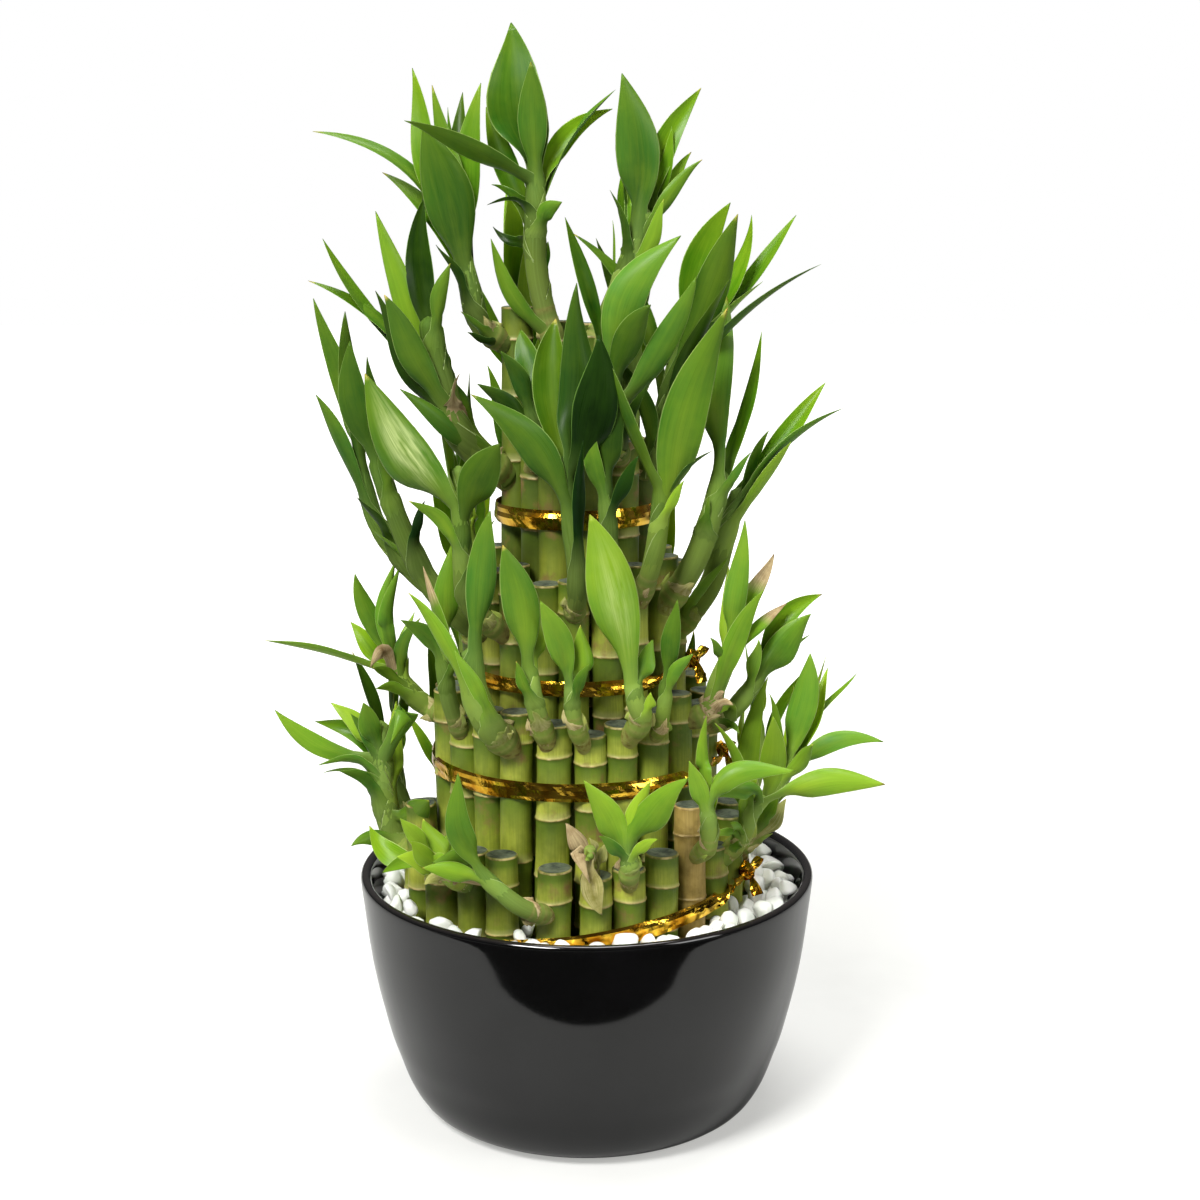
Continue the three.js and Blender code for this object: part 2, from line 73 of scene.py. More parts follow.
def rounded(points, steps):
    """The points joined by a smooth line, with so many steps from each to the next."""
    points = np.array(points, float)
    ends = np.vstack([2 * points[0] - points[1], points, 2 * points[-1] - points[-2]])
    line = []
    for before, start, end, after in zip(ends, ends[1:], ends[2:], ends[3:]):
        for t in np.arange(steps) / steps:
            line.append(0.5 * (
                2 * start + (end - before) * t
                + (2 * before - 5 * start + 4 * end - after) * t ** 2
                + (3 * start - before - 3 * end + after) * t ** 3))
    return np.array([*line, points[-1]])


def turned(profile, sides):
    """Rows of points of a turned shape, one row for each point of its profile."""
    turn = 2 * np.pi * np.arange(sides) / sides
    radius, height = profile[:, :1], profile[:, 1:]
    return np.stack([radius * np.sin(turn), -radius * np.cos(turn), height + 0 * turn], axis=2)


def woven(rows, columns, closed):
    """Four-sided faces between rows of points; closed joins the last column to the first."""
    faces = []
    for row in range(rows - 1):
        for column in range(columns if closed else columns - 1):
            here = row * columns + column
            beside = row * columns + (column + 1) % columns
            faces.append((here, beside, beside + columns, here + columns))
    return faces


class Gathered:
    """Shapes gathered into one piece: points in millimetres, faces, and marks that its finish reads."""

    def __init__(self, *marks):
        self.points, self.faces, self.count = [], [], 0
        self.marks = {mark: [] for mark in marks}

    def add(self, points, faces, **marks):
        self.points.append(points)
        self.faces += [tuple(corner + self.count for corner in face) for face in faces]
        self.count += len(points)
        for mark, values in self.marks.items():
            values.append(np.broadcast_to(np.asarray(marks.get(mark, 0), float), len(points)))

    def done(self, name, finish, slot, node, smooth=True):
        """The piece, which rides with the bowl and stands for one node."""
        mesh = bpy.data.meshes.new(name)
        mesh.from_pydata((np.vstack(self.points) * MM).tolist(), [], self.faces)
        for mark, values in self.marks.items():
            values = np.concatenate(values).astype(np.float32)
            mesh.attributes.new(mark, "FLOAT", "POINT").data.foreach_set("value", values)
        if smooth:
            mesh.shade_smooth()
        mesh.materials.append(finish)
        piece = bpy.data.objects.new(name, mesh)
        bpy.context.scene.collection.objects.link(piece)
        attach(piece, "root")
        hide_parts(node)


def paint(colour):
    """A colour as the eye reads it, such as #6a9a30, in the linear numbers that a shader takes."""
    shares = [int(colour[i:i + 2], 16) / 255 for i in (1, 3, 5)]
    return (*[s / 12.92 if s <= 0.04045 else ((s + 0.055) / 1.055) ** 2.4 for s in shares], 1)


class Recipe:
    """A node tree being wired up, of a material or of an effect that several materials share."""

    def __init__(self, tree):
        self.tree = tree

    def feed(self, value, socket):
        if isinstance(value, bpy.types.NodeSocket):
            self.tree.links.new(value, socket)
        else:
            socket.default_value = paint(value) if isinstance(value, str) else value

    def node(self, kind, inputs=None, **settings):
        made = self.tree.nodes.new("ShaderNode" + kind)
        for setting, value in settings.items():
            setattr(made, setting, value)
        for socket, value in (inputs or {}).items():
            self.feed(value, made.inputs[socket])
        return made

    def mark(self, name):
        return self.node("Attribute", attribute_name=name).outputs["Fac"]

    def math(self, operation, first, second=0.0):
        return self.node("Math", {0: first, 1: second}, operation=operation).outputs[0]

    def times(self, first, second):
        return self.math("MULTIPLY", first, second)

    def plus(self, first, second):
        return self.math("ADD", first, second)

    def spread(self, value, low, high, to_low=0.0, to_high=1.0, **settings):
        ends = {"Value": value, "From Min": low, "From Max": high, "To Min": to_low, "To Max": to_high}
        return self.node("MapRange", ends, **settings).outputs[0]

    def mix(self, share, first, second):
        return self.node("Mix", {0: share, 6: first, 7: second}, data_type="RGBA").outputs[2]

    def coated(self, colour, *coats):
        """The colour with coats over it, each given as its share and its own colour."""
        for share, coat in coats:
            colour = self.mix(share, colour, coat)
        return colour

    def noise(self, place, scale, detail=3.0, roughness=0.5):
        sockets = {"Vector": place, "Scale": scale, "Detail": detail, "Roughness": roughness}
        return self.node("TexNoise", sockets).outputs["Fac"]

    def place(self):
        return self.node("NewGeometry").outputs["Position"]

    def millimetres(self):
        scaled = self.node("Mapping", {"Vector": self.place(), "Scale": (1 / MM, 1 / MM, 1 / MM)})
        return self.node("SeparateXYZ", {0: scaled.outputs[0]}).outputs

    def shared(self, effect, **inputs):
        made = self.node("Group", node_tree=effect)
        for socket, value in inputs.items():
            self.feed(value, made.inputs[socket.replace("_", " ")])
        return made.outputs

    def bump(self, height, strength, distance):
        sockets = {"Height": height, "Strength": strength, "Distance": distance}
        self.finish(Normal=self.node("Bump", sockets).outputs[0])

    def finish(self, **sockets):
        for socket, value in sockets.items():
            self.feed(value, self.tree.nodes["Principled BSDF"].inputs[socket.replace("_", " ")])


def new_finish(name):
    material = bpy.data.materials.new(name)
    material.use_nodes = True
    return material, Recipe(material.node_tree)


def new_effect(name, inputs, outputs):
    """An effect for several materials: its tree, a recipe for it, and its inputs and outputs by name."""
    effect = bpy.data.node_groups.new(name, "ShaderNodeTree")
    recipe = Recipe(effect)
    for socket, (kind, value) in inputs.items():
        recipe.feed(value, effect.interface.new_socket(socket, in_out="INPUT", socket_type=kind))
    for socket, kind in outputs.items():
        effect.interface.new_socket(socket, in_out="OUTPUT", socket_type=kind)
    entry = effect.nodes.new("NodeGroupInput").outputs
    leave = effect.nodes.new("NodeGroupOutput").inputs
    return effect, recipe, entry, leave


FLOAT, COLOUR = "NodeSocketFloat", "NodeSocketColor"

# Patches of a second colour, soft at their edges, as glaze, bark and stone all have
mottle, recipe, entry, leave = new_effect(
    "mottle",
    {"Colour": (COLOUR, "#808080"), "Patch Colour": (COLOUR, "#808080"),
     "Scale": (FLOAT, 60), "From": (FLOAT, 0.45), "To": (FLOAT, 0.7)},
    {"Colour": COLOUR, "Patch": FLOAT})
patch = recipe.spread(recipe.noise(recipe.place(), entry["Scale"], 4, 0.6), entry["From"], entry["To"])
recipe.feed(recipe.mix(patch, entry["Colour"], entry["Patch Colour"]), leave["Colour"])
recipe.feed(patch, leave["Patch"])

THIN_FROM, THIN_TO = 87.6, 88.5
WIPED_FROM, WIPED_TO = 1.5, 1.1
glaze, recipe = new_finish("black_glaze")
skin = recipe.shared(mottle, Colour="#060606", Patch_Colour="#0b0b0c", Scale=35)["Colour"]
height = recipe.millimetres()["Z"]
thin = recipe.spread(height, THIN_FROM, THIN_TO, 0, 0.5)
wiped = recipe.spread(recipe.plus(height, recipe.noise(recipe.place(), 300)), WIPED_FROM, WIPED_TO)
recipe.finish(
    Base_Color=recipe.coated(skin, (thin, "#2a2320"), (wiped, "#8a6a4e")),
    Roughness=recipe.spread(wiped, 0, 1, 0.08, 0.85),
    Coat_Weight=recipe.spread(wiped, 0, 1, 0.1, 0), Coat_Roughness=0.05, IOR=1.48)
recipe.bump(recipe.noise(recipe.place(), 45, 1), 0.12, 0.0008)

profile = np.vstack([FOOT_RECESS, rounded([*BOWL_OUTSIDE, *BOWL_LIP, *BOWL_INSIDE], PROFILE_STEPS)])
bowl = Gathered()
bowl.add(turned(profile, BOWL_SIDES).reshape(-1, 3), woven(len(profile), BOWL_SIDES, closed=True))
bowl.done("bowl", glaze, "glaze", "pot")


# The canes: lengths of living stem, cut square and dipped in wax on top, then stood in rings that step
# down from the heart of the bundle. Rings of scar mark where each old leaf was joined to them.
BUNDLE_X = -4
BOWL_FLOOR = 6.35
LEDGE = 26.35
CANE_RADIUS = 5.6
PRESSED_RADIUS = 5.25
PRESSED = 10.2
# Each ring: its name, its radius, the canes' height, and the angle and count of each group of canes
TIERS = [
    ("heart", 8.1, 283, [(-40, 2), (140, 2)]),
    ("upper", 22, 246, [(-82, 1), (-44.4, 2), (20.1, 2), (84.6, 2), (149.1, 2), (213.6, 2)]),
    ("middle", 33.8, 202, [(-18.7 + 40 * k, 2) for k in range(9)]),
    ("lower", 45.6, 154, [
        (-72, 1), (-56, 1), (-41, 1), (-26.3, 1), (-10, 1), (6, 1), (21, 1), (36, 1), (51, 1), (67, 1),
        (82.4, 2), (110.7, 2), (139, 2), (167.3, 2), (195.6, 2), (223.9, 2), (252.2, 2)]),
    ("outer", 57.4, 107, [
        (-70, 1), (-54, 1), (-38.2, 1), (-25.4, 1), (-6.9, 1), (6.5, 1), (18.6, 1), (31.2, 1), (43, 1),
        (56, 1), (72, 1), (86, 1), (99, 3), (132.5, 3), (166, 3), (199.5, 3), (233, 3), (266.5, 2)]),
]
CUT_HEIGHTS = {
    "upper1": 291, "middle5": 206, "lower1": 158, "lower6": 150, "lower9": 160,
    "outer1": 118, "outer9": 124, "outer11": 113,
}
DEAD_CANE = "outer9"
TOP_JOINT = 9
LOWEST_JOINT = 8
JOINT_PITCH = 42
SHORT_JOINT = 19

Cane = namedtuple("Cane", "name number angle x y base top joint radius")
canes = {}
cane_nodes = {}
for tier, ring, tier_top, groups in TIERS:
    number = 0
    step = 2 * math.degrees(math.asin(PRESSED / 2 / ring))
    for group, (first, count) in enumerate(groups):
        kind = "canes" if count > 1 else "cane"
        members = cane_nodes.setdefault(f"{tier}_{kind}_{group + 1}", [])
        for k in range(count):
            number += 1
            name = f"{tier}{number}"
            angle = math.radians(first + k * step)
            top = CUT_HEIGHTS.get(name, tier_top + 3 * math.sin(5 * number))
            canes[name] = Cane(
                name, number, angle, BUNDLE_X + ring * math.sin(angle), -ring * math.cos(angle),
                base=LEDGE if tier == "outer" else BOWL_FLOOR, top=top,
                joint=top - TOP_JOINT - 2 * abs(math.sin(number)),
                radius=PRESSED_RADIUS if count > 1 else CANE_RADIUS + 0.25 * math.sin(4 * number))
            members.append(name)

CANE_SIDES = 22
BELOW_JOINT = [-9, -4, -1.6, -0.5]
ABOVE_JOINT = [0.35, 0.8, 2.2, 6]
SCAR_HALF = 0.15
SWELL_BELOW, SWELL_ABOVE = 0.5, 0.42
SCAR_ASKEW = 0.35
CUT_ASKEW = 0.12
BOW = 0.5
LEAN = 0.014
# Rows of a cut end, in from the skin: how far in, how far above the cut, scar and wax
CUT_END = [
    (0, -2.5, 0, 0), (0, -0.75, 0, 0), (-0.06, -0.55, 0.9, 0), (-0.02, -0.2, 0.9, 0),
    (0.25, 0, 0.7, 0), (0.7, 0.12, 0, 1), (1.3, 0.05, 0, 1), (2.8, -0.3, 0, 1),
]
CUT_MIDDLE = (0.01, -0.1)


def cane_joints(cane):
    """Heights of a cane's joints, from the bottom up: each scar has a second one close below it."""
    joints = []
    height = cane.joint
    short = SHORT_JOINT + 4 * math.sin(3 * cane.number)
    while height > cane.base + LOWEST_JOINT:
        joints += [height, height - short]
        height -= JOINT_PITCH
    return sorted(height for height in joints if height > cane.base + LOWEST_JOINT)


def cane_profile(cane):
    """Rows up a cane: radius, height, how near a joint's scar, how far up between joints, and wax."""
    radius, top, joints = cane.radius, cane.top, cane_joints(cane)
    rows = [(radius, cane.base, 0, 0, 0)]
    ends = [cane.base, *joints, top]
    for low, joint, high in zip(ends, joints, ends[2:]):
        for drop in BELOW_JOINT:
            swell = 0.18 * math.exp(drop / 3)
            share = (joint + drop - low) / (joint - low)
            if joint + drop > rows[-1][1] + 0.2:
                rows.append((radius + swell, joint + drop, 0, share, 0))
        rows.append((radius + SWELL_BELOW, joint - SCAR_HALF, 1, 1, 0))
        rows.append((radius + SWELL_ABOVE, joint + SCAR_HALF, 1, 0, 0))
        for rise in ABOVE_JOINT:
            swell = 0.3 * math.exp(-rise / 2.5)
            scar = 0.25 if rise < 0.5 else 0
            if joint + rise < high - 3:
                rows.append((radius + swell, joint + rise, scar, rise / (high - joint), 0))
    for inset, rise, scar, wax in CUT_END:
        rows.append((radius - inset, top + rise, scar, 0.9, wax))
    rows.append((CUT_MIDDLE[0], top + CUT_MIDDLE[1], 0, 0.9, 1))
    return np.array(rows)


def stand_cane(stalks, cane):
    """One cane, a little bowed, with its scars running round it askew."""
    rows = cane_profile(cane)
    heights, number = rows[:, 1:2], cane.number
    turn = 2 * np.pi * np.arange(CANE_SIDES) / CANE_SIDES
    shape = turned(rows[:, :2], CANE_SIDES)
    askew = np.where(heights < cane.top - 3, SCAR_ASKEW, CUT_ASKEW)
    shape[:, :, 2] += askew * np.sin(turn + 5 * number)
    lean = LEAN * math.sin(3 * cane.angle + cane.top / 60)
    shape[:, :, 0] += cane.x + BOW * np.sin(heights / 45 + 2 * number) + lean * (heights - 90)
    shape[:, :, 1] += cane.y
    tone = 0.5 + 0.5 * np.sin(7.3 * number + rows[:, 1] / 60)
    columns = {"scar": rows[:, 2], "rise": rows[:, 3], "wax": rows[:, 4], "tone": tone}
    marks = {mark: np.repeat(values, CANE_SIDES) for mark, values in columns.items()}
    faces = woven(len(rows), CANE_SIDES, closed=True)
    stalks.add(shape.reshape(-1, 3), faces, dead=cane.name == DEAD_CANE, **marks)


# Fibres: fine lines that run along a grown thing, from its own measure across and along
fibres, recipe, entry, leave = new_effect(
    "fibres", {"Across": (FLOAT, 0), "Along": (FLOAT, 0), "Fineness": (FLOAT, 10)}, {"Line": FLOAT})
finer = recipe.times(entry["Across"], entry["Fineness"])
spot = recipe.node("CombineXYZ", {"X": finer, "Y": entry["Along"]}).outputs[0]
recipe.feed(recipe.noise(spot, 1, 3, 0.65), leave["Line"])

bark, recipe = new_finish("cane_skin")
rise, wax = recipe.mark("rise"), recipe.mark("wax")
spot = recipe.millimetres()
round_it = recipe.plus(spot["X"], spot["Y"])
line = recipe.shared(fibres, Across=round_it, Along=recipe.times(spot["Z"], 0.06), Fineness=1.6)["Line"]

# Green that is yellow above each joint and darker towards the next, with painted shade over it that darkens
# the canes high in the bundle, where the leaves shade them
green = recipe.coated(
    recipe.mix(recipe.mark("tone"), "#8f9a30", "#b9be48"),
    (recipe.spread(rise, 0.25, 1.0, interpolation_type="SMOOTHSTEP"), "#567016"),
    (recipe.spread(spot["Z"], 165, 225, 0, 0.62), "#3a4e08"),
    (recipe.spread(line, 0.35, 0.75, 0, 0.55), "#5f7020"))
olive = recipe.mix(0.6, green, "#35480f")
green = recipe.shared(mottle, Colour=green, Patch_Colour=olive, Scale=58, From=0.4, To=0.68)["Colour"]
green = recipe.mix(recipe.spread(rise, 0.14, 0.0, 0, 0.5), green, "#bdb57c")
green = recipe.shared(mottle, Colour=green, Patch_Colour="#7d6538", Scale=95, From=0.58, To=0.72)["Colour"]

# The dead cane's straw brown, the scars and the wax
dead = recipe.shared(mottle, Colour="#ac9450", Patch_Colour="#73602c", Scale=120)["Colour"]
dead = recipe.mix(recipe.spread(line, 0.35, 0.7, 0, 0.6), dead, "#80692f")
grain = recipe.noise(recipe.place(), 380, 2)
scar = recipe.times(recipe.mark("scar"), recipe.spread(grain, 0.3, 0.6, 0.95, 0.5))
scar_brown = recipe.mix(recipe.spread(grain, 0.4, 0.6), "#baa36c", "#7c6136")
sealed = recipe.shared(
    mottle, Colour="#5c6550", Patch_Colour="#2f372e", Scale=260, From=0.4, To=0.65)["Colour"]
recipe.finish(
    Base_Color=recipe.coated(green, (recipe.mark("dead"), dead), (scar, scar_brown), (wax, sealed)),
    Roughness=recipe.plus(recipe.spread(line, 0.3, 0.7, 0.4, 0.6), recipe.times(wax, 0.2)),
    Specular_IOR_Level=0.35)
recipe.bump(recipe.plus(line, recipe.noise(recipe.place(), 500, 2)), 0.25, 0.0004)

for node, members in cane_nodes.items():
    stalks = Gathered("scar", "rise", "wax", "tone", "dead")
    for name in members:
        stand_cane(stalks, canes[name])
    stalks.done(f"{node}_stalks", bark, "cane", node)


# The shoots: soft stems that broke out of the canes at a joint. Each leaf begins as a sheath that wraps
# the stem, opens on the side that it grows to, and runs on as a pointed blade with fine long veins.
# A leaf: how far up the stem it grows, its tip, its width as seen from the front, a greenness for it alone,
# which is partly the leaf's own green and partly painted light and shade, brighter where it is lit and
# darker where it is shaded or turned from the light, where 2 is withered and below 0 only its tip is, what
# its middle passes, and how strong a painted gloss highlight it has up its middle
Leaf = namedtuple(
    "Leaf", "place x y z width greenness middle_x middle_z pale", defaults=(None, None, None, 0))
# Each shoot: its cane, the height where it leaves the cane, its greenness from dark 0 to bright 1, which is
# partly its own green and partly painted light and shade, its thickness, the points that its stem passes,
# and its leaves
SHOOTS = [
    ("upper1", 277, 0.36, 7.5, [(-36, -11, 285), (-39, -14, 296), (-42, -15, 310)], [
        (1, -58, -8, 370, 9, 0.66), (0.97, -35, -10, 365, 9.5, 0.64, -40, 339),
        (0.93, -47, 2, 358, 3.5, 0.6), (0.93, -42, 4, 363, 8, 0.25),
        (0.88, -53, -26, 351, 17, 0.45, -48, 333), (0.84, -91, -14, 349, 5, 0.45, -61, 337),
        (0.78, -38, -2, 336, 1.5), (0.72, -69, -6, 336, 6.5, 0.5, -55, 325), (0.6, -50, -22, 312, 3),
        (0.26, -42, -22, 290, 2.5), (0.16, -40, -20, 283, 2.5), (0.9, -51, -14, 364, 7, 0.6, -48, 348)]),
    ("heart1", 270, 0.36, 7.5, [(-17, -8, 304), (-17, -10, 322), (-17, -10, 337)], [
        (1, -25, -4, 385, 20, 0.45), (0.95, -18, -20, 371, 10, 0.5),
        (0.9, -58, -40, 351, 7, 0.5, -36, 343), (0.86, 9, -4, 357, 7.5, 0.8, -7, 347),
        (0.8, 10, -8, 363, 1.5, 0.5, -2, 349), (0.6, -34, 2, 358, 8.5, 0.45, -28, 340),
        (0.66, -8, -18, 326, 6), (0.68, -33, -18, 325, 1.5), (0.7, -32, -6, 332, 3),
        (0.5, -32, 0, 318, 3.5, 0.15, -25, 313), (0.12, -32, -16, 314, 6, 0.62, -28, 302),
        (0.3, -13, -4, 313, 4)]),
    ("heart2", 270, 0.6, 10, [(11, -6, 293), (16, -8, 306), (20, -9, 324)], [
        (1, 39, -2, 364, 8.5, 0.66, 31, 352), (0.97, 29, -6, 351, 5, 0.7, 28, 343),
        (0.94, 36, 0, 343, 5, 0.7), (0.9, 12, -12, 368, 15, 0.5, 17, 346),
        (0.86, 39, -12, 340, 5, 0.6, 33, 335), (0.82, 35, 2, 334, 2.5, 0.55), (0.8, 11, -4, 344, 4),
        (0.7, 8, -14, 330, 2.5), (0.62, 26, -16, 327, 5.5)]),
    ("upper5", 238, 0.42, 7, [(10, -29, 248), (9, -30, 261), (7, -30, 278)], [
        (1, -7, -22, 321, 6, 0.35, -1, 301), (0.85, 31, -34, 315, 13.5, 0.66, 16, 299),
        (0.9, 17, -22, 302, 7.5), (0.75, 21, -42, 293, 10, 0.35, 14, 283),
        (0.6, 36, -38, 302, 9, 0.5, 29, 286), (0.3, 20, -40, 267, 4)]),
    ("upper6", 233, 0.55, 7, [(24, -12, 239), (28, -14, 260), (33, -14, 283)], [
        (1, 49, -8, 326, 10.5, 0.6, 40, 310), (0.94, 57, 0, 322, 6.5, 0.7, 54, 304),
        (0.2, 75, -50, 306, 3, 0.3, 49, 286), (0.82, 73, 6, 322, 4.5, 0.62, 65, 311),
        (0.77, 50, -28, 322, 12, 0.42, 42, 299), (0.72, 59, -24, 300, 3.5, 0.85),
        (0.67, -5, 0, 316, 6.5, 0.35, 6, 307), (0.5, 47, -34, 301, 6, 0.42), (0.28, 6, -26, 279, 5.5)]),
    ("middle2", 186, 0.2, 6.5, [(-3, -44, 199), (-5, -44, 222), (-7, -44, 244)], [
        (1, -3, -42, 300, 12.5, 0.2), (0.95, -10, -30, 288, 13, 0.4, -12, 273),
        (0.9, 4, -54, 284, 15, 0.04, 3, 256), (0.75, -37, -54, 265, 11.5, 0.38, -19, 250),
        (0.5, -1, -52, 250, 4)]),
    ("upper2", 235, 0.2, 6, [(-16, -29, 245), (-18, -31, 255), (-19, -31, 263)], [
        (1, -22, -20, 284, 8.5), (0.9, -11, -16, 277, 7), (0.8, -28, -40, 278, 6.5),
        (0.5, -36, -36, 267, 6)]),
    ("middle3", 189, 0.3, 6, [(8, -43, 207), (7, -44, 223), (6, -44, 236)], [
        (1, 12, -46, 264, 8), (0.85, 0, -48, 259, 6), (0.7, 17, -52, 245, 5)]),
    ("upper1", 230, 0.32, 10, [(-43, -17, 248), (-50, -20, 270), (-53, -22, 288)], [
        (0.5, -70, -20, 323, 9, 0.75, -65, 306), (0.9, -54, -14, 328, 9.5, 0.12, -57, 306),
        (0.93, -45, -26, 306, 5.5), (0.64, -89, -12, 314, 4, 0.5, -77, 293),
        (0.56, -94, -14, 300, 4, 0.45, -79, 293), (0.45, -70, -26, 297, 7.5, 0.15),
        (0.5, -66, -36, 296, 10, 0.4), (0.66, -49, -16, 288, 2), (0.2, -64, -32, 281, 9.5, 0.45),
        (0.14, -62, -32, 265, 7.5), (0.48, -42, -30, 270, 1, 2)]),
    ("middle16", 182, 0.4, 7, [(-47, -9, 188), (-60, -12, 199), (-72, -14, 216), (-79, -14, 239)], [
        (1, -93, -10, 294, 7, 0.45, -87, 273), (0.95, -81, -20, 290, 7, 0.3, -81, 270),
        (0.85, -92, -18, 262, 5, 0.4, -87, 253), (0.79, -85, -4, 245, 5), (0.65, -78, -26, 228, 3),
        (0.45, -74, -20, 216, 2.5)]),
    ("middle17", 178, 0.25, 8, [(-43, -21, 184), (-56, -24, 201), (-66, -28, 226), (-71, -28, 242)], [
        (1, -78, -33, 281, 10.5, 0.3, -74, 252), (0.94, -74, -20, 275, 6), (0.8, -69, -36, 244, 4),
        (0.6, -54, -36, 228, 3.5)]),
    ("middle18", 178, 0.45, 7, [(-40, -40, 195), (-41, -43, 212), (-42, -44, 227)], [
        (1, -72, -44, 271, 16.5, 0.5, -58, 244, 0.6), (0.94, -28, -52, 249, 13, 0.3, -34, 239),
        (0.7, -58, -50, 230, 5), (0.5, -30, -52, 224, 2.5)]),
    ("middle4", 189, 0.6, 6.5, [(22, -38, 207), (24, -41, 222), (25, -41, 236)], [
        (0.6, 46, -42, 292, 15, 0.5, 34, 258), (0.93, 4, -50, 281, 4, 0.4, 11, 261),
        (0.85, 42, -38, 245, 1, 0.2, 36, 241), (0.7, 32, -46, 236, 3.5)]),
    ("middle5", 185, 0.5, 8.5, [(37, -27, 206), (42, -29, 221), (46, -29, 237)], [
        (1, 47, -24, 295, 11, 0.5), (0.96, 60, -12, 283, 4.5, 0.6, 56, 262),
        (0.85, 55, -34, 244, 3, 0.5, 51, 239), (0.6, 41, -34, 229, 2)]),
    ("middle6", 174, 0.62, 8, [(43, -12, 194), (48, -14, 212), (53, -14, 229)], [
        (1, 83, -6, 265, 6.5, 0.75, 65, 242), (0.94, 88, -16, 257, 2.5, 0.6, 79, 252),
        (0.9, 63, -12, 249, 3.5, 0.7, 60, 244), (0.8, 70, -20, 246, 4, 0.9, 63, 236),
        (0.15, 49, -20, 206, 3.5, 0.7)]),
    ("lower9", 149, 0.8, 7, [(42, -30, 154), (45, -29, 163), (50, -29, 175)], [
        (1, 54, -26, 220, 8), (0.97, 65, -18, 207, 7, -0.75), (0.9, 49, -20, 203, 6),
        (0.86, 42, -36, 181, 3.5), (0.92, 70, -16, 189, 4, -0.8),
        (0.5, 60, -34, 197, 7.5, 0.75, 52, 184), (0.5, 47, -36, 162, 2.5, 2),
        (0.4, 50, -38, 158, 2.5, 2)]),
    ("lower10", 144, 0.84, 6.5, [(48, -18, 148), (55, -20, 156), (61, -20, 165)], [
        (1, 83, -10, 191, 7.5, 0.7, 70, 184), (0.95, 78, -20, 186, 11, 0.68, 69, 176),
        (0.92, 79, -12, 177, 3), (0.8, 59, -30, 179, 5), (0.3, 53, -28, 145, 2.5),
        (0.5, 44, -26, 151, 3)]),
    ("outer11", 98, 0.92, 7, [(60, -19, 106), (64, -22, 119), (71, -23, 132)], [
        (1, 78, -20, 172, 10.5, 0.8, 76, 157), (0.98, 86, -8, 164, 5), (0.97, 86, -2, 167, 2),
        (0.94, 97, -4, 161, 2.5), (0.93, 104, -24, 141, 7, 0.75, 88, 142), (0.9, 63, -30, 160, 5),
        (0.88, 74, -6, 157, 4.5), (0.86, 78, -34, 143, 5.5), (0.7, 64, -34, 153, 9.5),
        (0.6, 90, -6, 126, 4), (0.45, 66, -36, 125, 5.5), (0.35, 70, -26, 121, 6.5, 1.6),
        (0.3, 64, -14, 162, 8.5, 0.9, 60, 149)]),
    ("outer10", 97, 0.88, 6, [(54, -34, 110), (57, -38, 120), (61, -40, 126)], [
        (1, 102, -42, 131, 9.5, 0.85, 81, 131), (0.9, 41, -50, 129, 6.5), (0.75, 36, -36, 124, 5.5),
        (0.5, 59, -44, 140, 4), (0.4, 49, -44, 118, 3.5), (0.3, 40, -42, 112, 3), (0.2, 52, -44, 111, 3),
        (0.5, 43, -46, 154, 3.5, 0.8, 49, 143)]),
    ("outer9", 104, 0.9, 6, [(41, -52, 113), (41, -54, 121), (40, -54, 127)], [
        (1, 70, -56, 140, 8), (0.94, 34, -58, 144, 6.5), (0.7, 46, -44, 137, 5.5),
        (0.9, 40, -52, 158, 4.5, 0.75, 39, 143)]),
    ("outer5", 90, 0.55, 6.2, [(-17, -66, 94), (-23, -69, 98), (-30, -69, 104), (-36, -69, 110)], [
        (1, -42, -68, 143, 9, 0.5), (0.9, -54, -72, 112, 6.5, 0.7)]),
    ("outer6", 103, 1, 3.5, [(1, -64, 115), (1, -66, 113)], [
        (1, 5, -68, 94, 7.5, 1.75, 1, 109), (0.9, -7, -62, 124, 6.5, 2),
        (0.7, 1, -70, 106, 5.5, 2, -3, 115), (0.8, 6, -60, 116, 4, 1.6)]),
    ("outer3", 96, 1, 5.5, [(-45, -55, 102), (-49, -57, 107), (-53, -57, 111)], [
        (1, -62, -60, 125, 6, 0.88, -57, 118), (0.97, -55, -54, 123, 8.5, 0.95, -51, 115),
        (0.95, -48, -50, 116, 7.5, 0.72), (0.9, -74, -46, 118, 8, 0.8, -68, 110),
        (0.9, -63, -64, 113, 8.5, 0.96, -54, 110), (0.8, -40, -60, 115, 7.5, 0.68),
        (0.7, -58, -66, 119, 6.5, 0.8), (0.75, -43, -68, 110, 5.5, 0.78),
        (0.3, -51, -70, 113, 7.5, 0.5, -42, 111), (0.8, -69, -54, 104, 5, 0.7),
        (0.35, -32, -68, 104, 5, 2), (0.5, -54, -66, 104, 4, 1.6)]),
    ("lower4", 143, 0.6, 9.5, [(-33, -54, 156), (-37, -56, 168), (-38, -56, 182)], [
        (1, -31, -58, 228, 10, 0.5, -35, 207), (0.8, -54, -48, 208, 3, -0.6, -51, 197),
        (0.7, -58, -58, 201, 5, 0.75, -51, 193), (0.4, -43, -62, 183, 5)]),
    ("lower5", 143, 0.7, 6.5, [(-16, -56, 159), (-18, -57, 168), (-19, -57, 177)], [
        (1, -27, -60, 217, 12.5, 0.54, -22, 198), (0.9, -17, -50, 200, 7.5), (0.6, -23, -62, 179, 4)]),
    ("lower6", 142, 0.65, 5.5, [(-4, -56, 157), (-5, -57, 165), (-5, -57, 170)], [
        (1, -15, -62, 199, 9), (0.94, -2, -52, 189, 7.5), (0.7, 1, -62, 178, 4)]),
    ("lower7", 145, 0.85, 7, [(18, -54, 158), (16, -56, 165), (15, -56, 171)], [
        (1, 1, -60, 227, 16.5, 0.8, 9, 202, 0.3), (0.9, 22, -52, 184, 6.5), (0.6, 21, -60, 168, 4)]),
